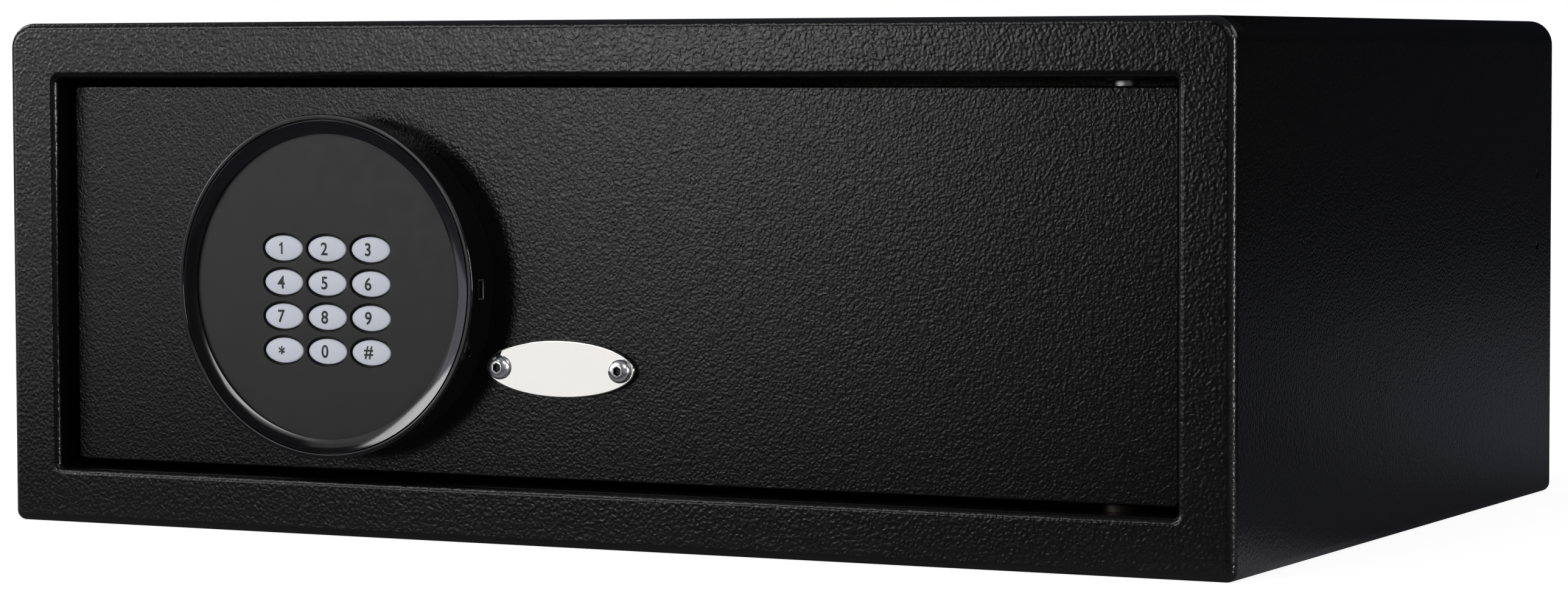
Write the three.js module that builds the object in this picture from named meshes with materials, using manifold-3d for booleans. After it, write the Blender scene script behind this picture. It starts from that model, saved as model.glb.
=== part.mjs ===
// Laptop safe for a hotel wardrobe: a welded steel body, a recessed steel door on two pivot pins,
// a round keypad lock with motor-driven bolts, and an emergency lock behind an oval cover plate.
// Units are millimetres. +X is to the right seen from the front, +Y to the back, +Z up.
// The origin is the centre of the body's underside. A depth is measured back from the front face.
import * as THREE from "three";
import { mergeVertices } from "three/addons/utils/BufferGeometryUtils.js";
import Module from "manifold-3d";

const wasm = await Module();
wasm.setup();

// Clearances
const seat = 0.1; // gap between parts that are seated on each other
const running = 0.1; // radial gap between a pin and its bush
const sliding = 0.4; // gap round parts that slide

// Screws of the inner cover and of the lock housing, and the hexagon socket of every screw
const screwRadius = 2;
const screwHeadRadius = 3.8;
const screwHead = 2.2;
const hexAcrossFlats = 3;
const hexDepth = 1.5;

// Body
const bodyWidth = 525;
const bodyDepth = 375;
const bodyHeight = 200;
const sheet = 2;
const topCornerRadius = 10;
const bottomCornerRadius = 4;
const frontBendRadius = 4;
const frameBorder = 22;
const frameRimDepth = 12;
const jambDepth = 32;
const openingCornerRadius = 2;
const backFlangeDepth = 25;
const weldMarkRadius = 2.2;
const weldMarkSink = 0.4;
const weldMarkFromBack = 20;
const weldMarkHeights = [105.5, 136];
const matThickness = 3;
const matMargin = 4;

// Anchor holes in the base and in the back, and the plugs in the base
const anchorHoleRadius = 5;
const anchorSpacing = 260;
const backAnchorHeight = 100;
const plugHeadRadius = 7.5;
const plugHeadThickness = 1.6;

// Door
const doorRecess = 10;
const doorGap = 3;
const panelThickness = 5;
const panelEdge = 0.8;
const pinRadius = 4;
const pinInset = 27.3;
const pinBehindPanel = 6;
const pinReach = 8;
const pinSocketDepth = 12;
const pinCollarRadius = 4.5;
const pinCollarHeight = 1.5;
const bushWall = 2;
const bushFlange = 4.5;
const upperBushFlangeThickness = 1;
const lowerBushFlangeThickness = 2.8;
const bushStandout = 5;
const hingeBlockWidth = 16;
const hingeBlockDepth = 15;
const hingeBlockHeight = 16;

// Inner cover on the door's back, and the battery box in it
const coverSheet = 1.5;
const coverDepth = 43;
const coverLeftInset = 15.5;
const coverRightInset = 47.5;
const coverTopInset = 15;
const coverFlange = 12;
const coverScrewGrip = 4;
const coverScrewInset = 30;
const batteryFromCoverEnd = 72;
const cellRadius = 7;
const cellLength = 49.5;
const cellNub = 1;
const cellCount = 4;
const cellGap = 1.4;
const trayWall = 1.5;
const batteryLidThickness = 2;
const batteryLidLap = 3;
const batteryLidLip = 1.2;

// Bolt work
const boltRadius = 8;
const boltFromCoverEdge = 25;
const boltTravel = 20;
const boltStandout = 9;
const boltBehindJamb = 2.5;
const boltSpigotRadius = 4;
const boltChamfer = 1.5;
const guideSheet = 2;
const guideWidth = 28;
const guideMargin = 11;
const yokeThickness = 9;
const yokeDepth = 13;
const armHeight = 8.5;
const armDepth = 9;
const toothModule = 1.25;
const rackAddendum = 0.9; // in modules
const dedendum = 1.25; // in modules
const pinionTeeth = 12;
const pressureAngle = THREE.MathUtils.degToRad(25);
const backlash = 0.2;
const pinionWidth = 6;
const pinionShaftRadius = 2;
const pinionFromOpening = 105.5;
const pinionSocket = 3;
const gearboxWidth = 32;
const gearboxHeight = 24;
const motorRadius = 10;
const motorLength = 32;
const motorFromPanel = 0.4;

// Emergency lock and its oval cover plate
const plateFromRim = 29.1;
const plateBelowDial = 30;
const plateLength = 64.4;
const plateHeight = 21.8;
const plateThickness = 2.4;
const plateChamfer = 0.4;
const plateScrewSpacing = 52.4;
const plateScrewRadius = 2.5;
const plateScrewHeadRadius = 4.65;
const plateScrewHead = 2.7;
const plateScrewGrip = 4;
const barrelRadius = 9.5;
const barrelFlangeRadius = 13.5;
const barrelFlangeThickness = 2.5;
const barrelLength = 27;
const plugRadius = 6;
const plugTailRadius = 3;
const keywayWidth = 1.6;
const keywayHeight = 8;
const keywayDepth = 14;
const camRadius = 21;
const camHubRadius = 5.5;
const camWidth = 8;
const camThickness = 4;
const camStart = THREE.MathUtils.degToRad(135);

// Lock housing on the door's front
const dialFromOpening = 131;
const dialGapBelow = 8.8;
const dialGapAbove = 13.8;
const dialHeight = 18;
const lipWidth = 2;
const lipLength = 2.6;
const lipOverhang = 1;
const housingWall = 3.2;
const housingLedge = 5;
const ledgeThickness = 2;
const groove = 0.3;
const ringWidth = 5.2;
const faceRecess = 2.4;
const faceThickness = 1.8;
const faceLedge = 2.5;
const keyColumns = 3;
const keyRows = 4;
const keyPitchX = 19.8;
const keyPitchZ = 13.25;
const keypadBelowDial = 5.2;
const keyLength = 17.5;
const keyHeight = 9.9;
const keyHoleMargin = 0.55;
const keyHoleTall = 0.9;
const keyCrown = 0.5;
const keySink = 0.9;
const keyFlange = 0.4;
const keyFlangeThickness = 0.8;
const keyFlangePlay = 0.15;
const keyTravel = 0.8;
const keyMatThickness = 1.6;
const keyMatMargin = 5;
const boardThickness = 1.6;
const boardMargin = 2;
const housingScrewAngles = [120, 300].map(THREE.MathUtils.degToRad);
const bossRadius = 4.5;
const bossHoleDepth = 4.5;
const housingScrewBeyondLedge = 1;
const dialSides = 48;
const portAngle = 0;
const portFromRim = 9;
const portWidth = 4.4;
const portLength = 8;
const portWall = 0.7;
const portDepth = 4.6;
const portFit = 0.15; // gap round the port and the jack
const jackAngle = THREE.MathUtils.degToRad(-22);
const jackFromRim = 7.4;
const jackRadius = 2.8;
const jackHoleRadius = 1.8;
const jackPinRadius = 0.6;

// Control board and its cable
const controlFromCable = 6;
const controlFromCoverTop = 6;
const controlWidth = 68;
const controlHeight = 38;
const controlStandoff = 9;
const standoffRadius = 2.5;
const standoffInset = 5;
const cableRadius = 2;
const cableHoleRadius = 6;
const cableFromLedge = 2;
const cableAngle = THREE.MathUtils.degToRad(42.6);

// Places that follow from the sizes
const atDepth = (depth) => depth - bodyDepth / 2;
const openingHalf = bodyWidth / 2 - frameBorder;
const openingBottom = frameBorder;
const openingTop = bodyHeight - frameBorder;
const doorLeft = -openingHalf + doorGap;
const doorRight = openingHalf - doorGap;
const doorBottom = openingBottom + doorGap;
const doorTop = openingTop - doorGap;
const doorMiddle = (doorBottom + doorTop) / 2;
const panelBack = doorRecess + panelThickness;
const hingeX = openingHalf - pinInset;
const hingeDepth = panelBack + pinBehindPanel;
const dialRadius = (openingTop - openingBottom - dialGapBelow - dialGapAbove) / 2;
const dialX = -openingHalf + dialFromOpening;
const dialZ = openingBottom + dialGapBelow + dialRadius;
const rimDepth = doorRecess - dialHeight;
const plateX = dialX + dialRadius + plateFromRim;
const plateZ = dialZ - plateBelowDial;
const boltDepth = jambDepth + boltBehindJamb + boltRadius;
const coverLeft = doorLeft + coverLeftInset;
const coverRight = doorRight - coverRightInset;
const coverBottom = doorBottom + coverTopInset;
const coverTop = doorTop - coverTopInset;
const coverBack = panelBack + coverDepth;
const boltHeights = [coverBottom + boltFromCoverEdge, coverTop - boltFromCoverEdge];
const batteryX = coverRight - batteryFromCoverEnd;
const bushRadius = pinRadius + running + bushWall;

// Depths behind the dial's rim, and the radii of what lies in the lock housing
const facePlateFront = faceRecess;
const facePlateBack = facePlateFront + faceThickness;
const keyFlangeFront = facePlateBack + keyFlangePlay;
const keyFlangeBack = keyFlangeFront + keyFlangeThickness;
const keyMatFront = keyFlangeBack + keyTravel + keyFlangePlay;
const keyMatBack = keyMatFront + keyMatThickness;
const boardFront = keyMatBack + seat;
const boardBack = boardFront + boardThickness;
const ledgeFront = boardBack + seat;
const lipInner = dialRadius - lipWidth;
const faceRadius = lipInner - faceLedge;
const boardRadius = faceRadius - boardMargin;
const housingRadius = dialRadius - lipOverhang;
const ledgeInner = boardRadius - housingLedge;
const cableX = dialX + (ledgeInner - cableFromLedge - cableRadius) * Math.cos(cableAngle);
const cableZ = dialZ + (ledgeInner - cableFromLedge - cableRadius) * Math.sin(cableAngle);

// Bolt work and its drive
const pitchRadius = (toothModule * pinionTeeth) / 2;
const pinionX = -openingHalf + pinionFromOpening;
const armTop = doorMiddle + armHeight / 2;
const rackPitchZ = armTop + dedendum * toothModule;
const pinionZ = rackPitchZ + pitchRadius;
const guideLeft = coverLeft + coverSheet + sliding;
const yokeLeft = guideLeft + guideWidth + boltTravel + sliding;
const yokeRight = yokeLeft + yokeThickness;

// Geometry with shared corners, no empty triangles, and its faces pointing out
function merged(geometry) {
  const bare = new THREE.BufferGeometry();
  bare.setAttribute("position", geometry.getAttribute("position"));
  if (geometry.index) bare.setIndex(geometry.index);
  const shared = mergeVertices(bare, 1e-4);
  const corners = shared.index.array;
  const kept = [];
  for (let i = 0; i < corners.length; i += 3) {
    const [a, b, c] = [corners[i], corners[i + 1], corners[i + 2]];
    if (a !== b && b !== c && c !== a) kept.push(a, b, c);
  }
  if (sixVolumes(shared.getAttribute("position"), kept) < 0) kept.reverse();
  shared.setIndex(kept);
  return shared;
}

function sixVolumes(position, corners) {
  const [a, b, c] = [new THREE.Vector3(), new THREE.Vector3(), new THREE.Vector3()];
  let sum = 0;
  for (let i = 0; i < corners.length; i += 3) {
    a.fromBufferAttribute(position, corners[i]);
    b.fromBufferAttribute(position, corners[i + 1]);
    c.fromBufferAttribute(position, corners[i + 2]);
    sum += a.dot(b.cross(c));
  }
  return sum;
}

function toSolid(geometry) {
  const shared = merged(geometry);
  const mesh = new wasm.Mesh({
    numProp: 3,
    vertProperties: new Float32Array(shared.attributes.position.array),
    triVerts: new Uint32Array(shared.index.array),
  });
  return new wasm.Manifold(mesh);
}

function toGeometry(solid) {
  const mesh = solid.getMesh();
  const geometry = new THREE.BufferGeometry();
  geometry.setAttribute("position", new THREE.BufferAttribute(mesh.vertProperties, 3));
  geometry.setIndex(new THREE.BufferAttribute(mesh.triVerts, 1));
  return geometry;
}

const join = (first, ...more) =>
  toGeometry(more.reduce((sum, next) => sum.add(toSolid(next)), toSolid(first)));
const cut = (first, ...tools) =>
  toGeometry(tools.reduce((rest, tool) => rest.subtract(toSolid(tool)), toSolid(first)));

// Basic forms
const block = (x0, x1, y0, y1, z0, z1) =>
  new THREE.BoxGeometry(x1 - x0, y1 - y0, z1 - z0).translate((x0 + x1) / 2, (y0 + y1) / 2, (z0 + z1) / 2);

const rodY = (radius, y0, y1, x, z, sides = 24) =>
  new THREE.CylinderGeometry(radius, radius, y1 - y0, sides).translate(x, (y0 + y1) / 2, z);

const rodX = (radius, x0, x1, y, z, sides = 24) =>
  new THREE.CylinderGeometry(radius, radius, x1 - x0, sides)
    .rotateZ(-Math.PI / 2)
    .translate((x0 + x1) / 2, y, z);

const rodZ = (radius, z0, z1, x, y, sides = 24) =>
  new THREE.CylinderGeometry(radius, radius, z1 - z0, sides)
    .rotateX(Math.PI / 2)
    .translate(x, y, (z0 + z1) / 2);

// A closed profile of [radius, y] points, anticlockwise, turned about the y axis.
function turned(profile, sides = 48) {
  const points = profile.map(([radius, y]) => new THREE.Vector2(radius, y));
  return merged(new THREE.LatheGeometry([...points, points[0]], sides));
}

// A shape in x and z, filled between two y values, with an optional chamfer on both faces.
function slab(shape, y0, y1, { chamfer = 0, curveSegments = 12 } = {}) {
  const geometry = new THREE.ExtrudeGeometry(shape, {
    depth: y1 - y0 - 2 * chamfer,
    bevelEnabled: chamfer > 0,
    bevelThickness: chamfer,
    bevelSize: chamfer,
    bevelOffset: -chamfer,
    bevelSegments: 1,
    curveSegments,
  });
  return geometry.rotateX(Math.PI / 2).translate(0, y1 - chamfer, 0);
}

function roundedRect(x0, x1, z0, z1, topRadius, bottomRadius = topRadius) {
  const shape = new THREE.Shape();
  shape.absarc(x1 - topRadius, z1 - topRadius, topRadius, 0, Math.PI / 2);
  shape.absarc(x0 + topRadius, z1 - topRadius, topRadius, Math.PI / 2, Math.PI);
  shape.absarc(x0 + bottomRadius, z0 + bottomRadius, bottomRadius, Math.PI, 1.5 * Math.PI);
  shape.absarc(x1 - bottomRadius, z0 + bottomRadius, bottomRadius, 1.5 * Math.PI, 2 * Math.PI);
  return shape;
}

const ellipse = (x, z, halfX, halfZ) =>
  new THREE.Shape().absellipse(x, z, halfX, halfZ, 0, 2 * Math.PI);

// Body sheets
// The body's outline in x and z, moved inwards by an inset.
function bodyOutline(inset, topRadius, bottomRadius, steps = 4) {
  const half = bodyWidth / 2 - inset;
  const corners = [
    [half - topRadius, bodyHeight - inset - topRadius, topRadius],
    [-half + topRadius, bodyHeight - inset - topRadius, topRadius],
    [-half + bottomRadius, inset + bottomRadius, bottomRadius],
    [half - bottomRadius, inset + bottomRadius, bottomRadius],
  ];
  return corners.flatMap(([x, z, radius], corner) =>
    Array.from({ length: steps + 1 }, (_, step) => {
      const angle = (corner + step / steps) * (Math.PI / 2);
      return [x + radius * Math.cos(angle), z + radius * Math.sin(angle)];
    }),
  );
}

function bodyShape(inset) {
  const top = Math.max(topCornerRadius - inset, 1);
  const bottom = Math.max(bottomCornerRadius - inset, 1);
  const half = bodyWidth / 2 - inset;
  return roundedRect(-half, half, inset, bodyHeight - inset, top, bottom);
}

// The front frame's sheet: an outer bend, the flat border, an inner bend and the jamb.
function frameProfile() {
  const bend = (inset, depth, radius, from, to) =>
    Array.from({ length: 4 }, (_, step) => {
      const angle = THREE.MathUtils.lerp(from, to, step / 3);
      return [inset + radius * Math.cos(angle), depth + radius * Math.sin(angle)];
    });
  const r = frontBendRadius;
  const jamb = frameBorder;
  return [
    [0, frameRimDepth],
    ...bend(r, r, r, Math.PI, 1.5 * Math.PI),
    ...bend(jamb - r, r, r, 1.5 * Math.PI, 2 * Math.PI),
    [jamb, jambDepth],
    [jamb - sheet, jambDepth],
    ...bend(jamb - r, r, r - sheet, 2 * Math.PI, 1.5 * Math.PI),
    ...bend(r, r, r - sheet, 1.5 * Math.PI, Math.PI),
    [sheet, frameRimDepth],
  ];
}

function frontFrame() {
  const cornerAt = (inset, outerRadius) =>
    inset < frameBorder / 2
      ? Math.max(outerRadius - inset, 1)
      : openingCornerRadius + frameBorder - inset;
  const rows = frameProfile().map(([inset, depth]) =>
    bodyOutline(inset, cornerAt(inset, topCornerRadius), cornerAt(inset, bottomCornerRadius)).map(
      ([x, z]) => [x, atDepth(depth), z],
    ),
  );
  const width = rows[0].length;
  const corners = [];
  rows.forEach((_, i) => {
    const below = i * width;
    const above = ((i + 1) % rows.length) * width;
    for (let j = 0; j < width; j += 1) {
      const k = (j + 1) % width;
      corners.push(below + j, above + j, above + k, below + j, above + k, below + k);
    }
  });
  const geometry = new THREE.BufferGeometry();
  geometry.setAttribute("position", new THREE.Float32BufferAttribute(rows.flat(2), 3));
  geometry.setIndex(corners);
  const bushHole = bushRadius + seat;
  const hingeY = atDepth(hingeDepth);
  return cut(
    geometry,
    rodZ(bushHole, openingTop - sheet, openingTop + 2 * sheet, hingeX, hingeY, 24),
    rodZ(bushHole, openingBottom - 2 * sheet, openingBottom + sheet, hingeX, hingeY, 24),
  );
}

function bodyWrap() {
  const shape = bodyShape(0);
  shape.holes.push(bodyShape(sheet));
  const tube = slab(shape, atDepth(frameRimDepth + seat), atDepth(bodyDepth), { curveSegments: 4 });
  const marks = [-1, 1].flatMap((side) =>
    weldMarkHeights.map((z) => {
      const face = (side * bodyWidth) / 2;
      const y = atDepth(bodyDepth - weldMarkFromBack);
      return rodX(weldMarkRadius, face - weldMarkSink, face + weldMarkSink, y, z, 12);
    }),
  );
  const holes = [-1, 1].map((side) =>
    rodZ(anchorHoleRadius, -sheet, 2 * sheet, (side * anchorSpacing) / 2, 0, 24),
  );
  return cut(tube, ...marks, ...holes);
}

function backPlate() {
  const inset = sheet + seat;
  const back = atDepth(bodyDepth);
  const pan = slab(bodyShape(inset), back - backFlangeDepth, back, { curveSegments: 4 });
  const inside = slab(bodyShape(inset + sheet), back - 2 * backFlangeDepth, back - sheet, {
    curveSegments: 4,
  });
  const holes = [-1, 1].map((side) =>
    rodY(anchorHoleRadius, back - 2 * sheet, back + sheet, (side * anchorSpacing) / 2, backAnchorHeight, 24),
  );
  return cut(pan, inside, ...holes);
}

function floorMat() {
  const half = bodyWidth / 2 - sheet - matMargin;
  const front = atDepth(jambDepth + matMargin);
  const back = atDepth(bodyDepth - backFlangeDepth - matMargin);
  const bottom = sheet + seat;
  const mat = new THREE.Shape([
    new THREE.Vector2(-half, bottom),
    new THREE.Vector2(half, bottom),
    new THREE.Vector2(half, bottom + matThickness - 1),
    new THREE.Vector2(half - 1, bottom + matThickness),
    new THREE.Vector2(-half + 1, bottom + matThickness),
    new THREE.Vector2(-half, bottom + matThickness - 1),
  ]);
  const holes = [-1, 1].map((side) =>
    rodZ(plugHeadRadius + 2, 0, bottom + 2 * matThickness, (side * anchorSpacing) / 2, 0, 24),
  );
  return cut(slab(mat, front, back), ...holes);
}

// A push-in plug with its head inside the body. It stops short of the outer face.
function anchorPlug() {
  const shank = anchorHoleRadius - 0.25;
  return turned(
    [
      [0, -sheet + 0.2],
      [shank - 0.4, -sheet + 0.2],
      [shank, -sheet + 0.6],
      [shank, seat],
      [plugHeadRadius, seat],
      [plugHeadRadius - 0.8, plugHeadThickness + seat],
      [0, plugHeadThickness + seat],
    ],
    20,
  );
}

// A flanged bush with its flange towards the door, its sleeve along +y.
function hingeBush(flangeThickness) {
  const bore = pinRadius + running;
  const end = flangeThickness + seat + sheet + bushStandout;
  return turned(
    [
      [bore, 0],
      [bore + bushFlange, 0],
      [bore + bushFlange, flangeThickness],
      [bushRadius, flangeThickness],
      [bushRadius, end],
      [bore, end],
    ],
    24,
  );
}

// Door panel with its holes
function doorPanel() {
  const front = atDepth(doorRecess);
  const back = atDepth(panelBack);
  const shape = roundedRect(doorLeft, doorRight, doorBottom, doorTop, 2);
  const through = (radius, x, z) => rodY(radius, front - 1, back + 1, x, z, 20);
  const screwHoles = [-1, 1].map((side) =>
    through(plateScrewRadius + 0.2, plateX + (side * plateScrewSpacing) / 2, plateZ),
  );
  const coverHoles = coverScrewPlaces().map(([x, z]) =>
    rodY(screwRadius + 0.2, back - coverScrewGrip, back + 1, x, z, 12),
  );
  const housingHoles = housingScrewPlaces().map(([x, z]) => through(screwRadius + 0.2, x, z));
  return cut(
    slab(shape, front, back, { chamfer: panelEdge, curveSegments: 3 }),
    through(barrelRadius + 0.3, plateX, plateZ),
    through(cableHoleRadius, cableX, cableZ),
    ...screwHoles,
    ...coverHoles,
    ...housingHoles,
  );
}

function coverScrewPlaces() {
  const places = [];
  for (const z of [coverBottom - coverFlange / 2, coverTop + coverFlange / 2])
    for (const x of [coverLeft + coverScrewInset, coverRight - coverScrewInset]) places.push([x, z]);
  return places;
}

// The block that holds a hinge pin behind the panel, open at its top
function hingeBlock() {
  const front = -(pinBehindPanel - seat);
  const whole = block(
    -hingeBlockWidth / 2,
    hingeBlockWidth / 2,
    front,
    front + hingeBlockDepth,
    -hingeBlockHeight,
    -seat,
  );
  return cut(whole, rodZ(pinRadius + seat, -pinSocketDepth, 1, 0, 0, 24));
}

// A pin that stands in its block, with a chamfered end; z is 0 at the door's edge.
function hingePin(collar) {
  const bottom = -pinSocketDepth + seat;
  const top = doorGap + sheet + pinReach;
  const shoulder = [
    [pinRadius, 0],
    [pinCollarRadius, 0],
    [pinCollarRadius, pinCollarHeight],
    [pinRadius, pinCollarHeight],
  ];
  return turned(
    [
      [0, bottom],
      [pinRadius, bottom],
      ...(collar ? shoulder : []),
      [pinRadius, top - 1],
      [pinRadius - 1, top],
      [0, top],
    ],
    24,
  ).rotateX(Math.PI / 2);
}

function innerCover() {
  const front = atDepth(panelBack + seat);
  const back = atDepth(coverBack);
  const shell = block(coverLeft, coverRight, front, back, coverBottom, coverTop);
  const flanges = block(
    coverLeft,
    coverRight,
    front,
    front + coverSheet,
    coverBottom - coverFlange,
    coverTop + coverFlange,
  );
  const inside = block(
    coverLeft + coverSheet,
    coverRight - coverSheet,
    front - 1,
    back - coverSheet,
    coverBottom + coverSheet,
    coverTop - coverSheet,
  );
  const boltHoles = boltHeights.map((z) =>
    rodX(boltRadius + sliding, coverLeft - 1, coverLeft + 2 * coverSheet, atDepth(boltDepth), z, 24),
  );
  const [halfX, halfZ] = batteryOpening();
  const opening = block(
    batteryX - halfX,
    batteryX + halfX,
    back - 2 * coverSheet,
    back + 1,
    doorMiddle - halfZ,
    doorMiddle + halfZ,
  );
  const screwHoles = coverScrewPlaces().map(([x, z]) =>
    rodY(screwRadius + 0.3, front - 1, front + 2 * coverSheet, x, z, 12),
  );
  return cut(join(shell, flanges), inside, opening, ...boltHoles, ...screwHoles);
}

// Half the width and height of the space that the cells need
function batteryOpening() {
  const halfX = cellLength / 2 + cellNub + 2;
  const halfZ = (cellCount * (2 * cellRadius + cellGap)) / 2;
  return [halfX, halfZ];
}

function batteryTray() {
  const [halfX, halfZ] = batteryOpening();
  const back = atDepth(coverBack - coverSheet - seat);
  const front = back - 2 * cellRadius - 2 * trayWall - 2 * seat;
  const box = block(
    batteryX - halfX - trayWall,
    batteryX + halfX + trayWall,
    front,
    back,
    doorMiddle - halfZ - trayWall,
    doorMiddle + halfZ + trayWall,
  );
  const inside = block(
    batteryX - halfX,
    batteryX + halfX,
    front + trayWall,
    back + 1,
    doorMiddle - halfZ,
    doorMiddle + halfZ,
  );
  return cut(box, inside);
}

function batteryLid() {
  const [halfX, halfZ] = batteryOpening();
  const outer = roundedRect(
    -halfX - batteryLidLap,
    halfX + batteryLidLap,
    -halfZ - batteryLidLap,
    halfZ + batteryLidLap,
    3,
  );
  const lid = slab(outer, 0, batteryLidThickness, { chamfer: 0.5, curveSegments: 4 });
  const play = sliding / 2;
  const lip = block(
    -halfX + play,
    halfX - play,
    -coverSheet - seat,
    0.6,
    -halfZ + play,
    halfZ - play,
  );
  const hollow = block(
    -halfX + batteryLidLip + play,
    halfX - batteryLidLip - play,
    -coverSheet - 1,
    0.5,
    -halfZ + batteryLidLip + play,
    halfZ - batteryLidLip - play,
  );
  return cut(join(lid, lip), hollow);
}

// A round cell lying along x, with its positive nub at +x
function cell() {
  return turned(
    [
      [0, -cellLength / 2],
      [cellRadius - 0.5, -cellLength / 2],
      [cellRadius, -cellLength / 2 + 0.5],
      [cellRadius, cellLength / 2 - 0.5],
      [cellRadius - 0.5, cellLength / 2],
      [2.7, cellLength / 2],
      [2.7, cellLength / 2 + cellNub],
      [0, cellLength / 2 + cellNub],
    ],
    20,
  ).rotateZ(-Math.PI / 2);
}

// A screw with its head's seat at y = 0, its head towards -y and its shank along +y.
function screw(headRadius, headHeight, shankRadius, shankLength, sides) {
  const crown = [1, 0.7, 0].map((rise) => {
    const radius = headRadius * Math.sqrt(1 - (0.83 * rise) ** 2);
    return [radius, -headHeight * (0.12 + 0.88 * rise)];
  });
  const body = turned(
    [
      [0, shankLength],
      [0, -headHeight],
      ...crown,
      [headRadius, 0],
      [shankRadius, 0],
      [shankRadius, shankLength],
    ],
    sides,
  );
  const socketRadius = hexAcrossFlats / 2 / Math.cos(Math.PI / 6);
  return cut(body, rodY(socketRadius, -headHeight - 1, -headHeight + hexDepth, 0, 0, 6));
}

// Bolt work
function bolt() {
  const tip = -openingHalf + boltStandout;
  const shoulder = yokeLeft - seat;
  const spigotEnd = yokeLeft + yokeThickness - 1;
  return turned(
    [
      [0, tip],
      [boltRadius - boltChamfer, tip],
      [boltRadius, tip + boltChamfer],
      [boltRadius, shoulder],
      [boltSpigotRadius, shoulder],
      [boltSpigotRadius, spigotEnd],
      [0, spigotEnd],
    ],
    24,
  ).rotateZ(-Math.PI / 2);
}

function boltGuide() {
  const front = atDepth(panelBack + seat);
  const back = atDepth(coverBack - coverSheet - seat);
  const bottom = boltHeights[0] - boltRadius - guideMargin;
  const top = boltHeights[1] + boltRadius + guideMargin;
  const whole = block(guideLeft, guideLeft + guideWidth, front, back, bottom, top);
  const channel = block(
    guideLeft + guideSheet,
    guideLeft + guideWidth - guideSheet,
    front + guideSheet,
    back + 1,
    bottom - 1,
    top + 1,
  );
  const holes = boltHeights.map((z) =>
    rodX(boltRadius + running, guideLeft - 1, guideLeft + guideWidth + 1, atDepth(boltDepth), z, 24),
  );
  return cut(whole, channel, ...holes);
}

// The rack's arm in x and z, with its teeth upwards. A gap between two teeth faces the pinion.
function rackShape(left, right) {
  const pitch = Math.PI * toothModule;
  const half = (height) => (pitch / 2 - backlash) / 2 - height * Math.tan(pressureAngle);
  const tip = rackAddendum * toothModule;
  const root = -dedendum * toothModule;
  const teeth = Math.ceil(boltTravel / pitch) + 4;
  const shape = new THREE.Shape();
  shape.moveTo(left, armTop - armHeight);
  shape.lineTo(right, armTop - armHeight);
  shape.lineTo(right, armTop);
  for (let tooth = teeth - 3; tooth >= -2; tooth -= 1) {
    const middle = pinionX + (tooth + 0.5) * pitch;
    shape.lineTo(middle + half(root), rackPitchZ + root);
    shape.lineTo(middle + half(tip), rackPitchZ + tip);
    shape.lineTo(middle - half(tip), rackPitchZ + tip);
    shape.lineTo(middle - half(root), rackPitchZ + root);
  }
  shape.lineTo(left, armTop);
  shape.closePath();
  return shape;
}

function boltCarriage() {
  const middle = atDepth(boltDepth);
  const yoke = block(
    yokeLeft,
    yokeRight,
    middle - yokeDepth / 2,
    middle + yokeDepth / 2,
    boltHeights[0] - boltRadius - 3,
    boltHeights[1] + boltRadius + 3,
  );
  const tabRight = plateX + camWidth / 2;
  const arm = slab(rackShape(yokeRight - 1, tabRight), middle - armDepth / 2, middle + armDepth / 2);
  const tab = block(
    plateX - camWidth / 2,
    tabRight,
    middle - armDepth / 2,
    middle + armDepth / 2,
    plateZ + camRadius + sliding,
    armTop - armHeight + 1,
  );
  const spigotHoles = boltHeights.map((z) =>
    rodX(boltSpigotRadius + seat, yokeLeft - 1, yokeRight + 1, middle, z, 24),
  );
  return cut(join(yoke, arm, tab), ...spigotHoles);
}

// The pinion in x and z round its own axis, with one tooth pointing down
function pinionShape() {
  const base = pitchRadius * Math.cos(pressureAngle);
  const tip = pitchRadius + toothModule;
  const root = pitchRadius - dedendum * toothModule;
  const involute = (angle) => Math.tan(angle) - angle;
  const atPitch = ((Math.PI * toothModule) / 2 - backlash) / (2 * pitchRadius);
  const halfAngle = (radius) =>
    atPitch + involute(pressureAngle) - involute(Math.acos(Math.min(base / radius, 1)));
  const radii = [0, 0.4, 1].map((share) => base + share * (tip - base));
  const flank = [[root, halfAngle(base)], ...radii.map((radius) => [radius, halfAngle(radius)])];
  const points = [];
  for (let tooth = 0; tooth < pinionTeeth; tooth += 1) {
    const middle = -Math.PI / 2 + (tooth * 2 * Math.PI) / pinionTeeth;
    for (const [radius, half] of flank)
      points.push([radius, middle - half]);
    for (const [radius, half] of [...flank].reverse())
      points.push([radius, middle + half]);
  }
  return new THREE.Shape(
    points.map(([radius, angle]) => new THREE.Vector2(radius * Math.cos(angle), radius * Math.sin(angle))),
  );
}

function drivePinion() {
  const half = pinionWidth / 2;
  const shaftStart = gearboxDepth() - pinionSocket + seat - boltDepth;
  return join(
    slab(pinionShape(), -half, half),
    rodY(pinionShaftRadius, shaftStart, half + 1, 0, 0, 20),
  );
}

// The depth of the gearbox's back face, just short of the rack
function gearboxDepth() {
  return boltDepth - armDepth / 2 - 1.5;
}

function gearMotor() {
  const front = atDepth(panelBack + seat);
  const back = atDepth(gearboxDepth());
  const left = pinionX - gearboxWidth / 2;
  const bottom = pinionZ - gearboxHeight / 2;
  const gearbox = block(left, left + gearboxWidth, front, back, bottom, bottom + gearboxHeight);
  const motorY = front + motorRadius + motorFromPanel;
  const motorZ = bottom + gearboxHeight / 2;
  const right = left + gearboxWidth;
  const motor = rodX(motorRadius, right - 1, right + motorLength, motorY, motorZ, 28);
  const nose = rodX(motorRadius / 3, right + motorLength - 1, right + motorLength + 2, motorY, motorZ, 16);
  const socket = rodY(pinionShaftRadius + running, back - pinionSocket, back + 1, pinionX, pinionZ, 24);
  return cut(join(gearbox, motor, nose), socket);
}

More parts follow.
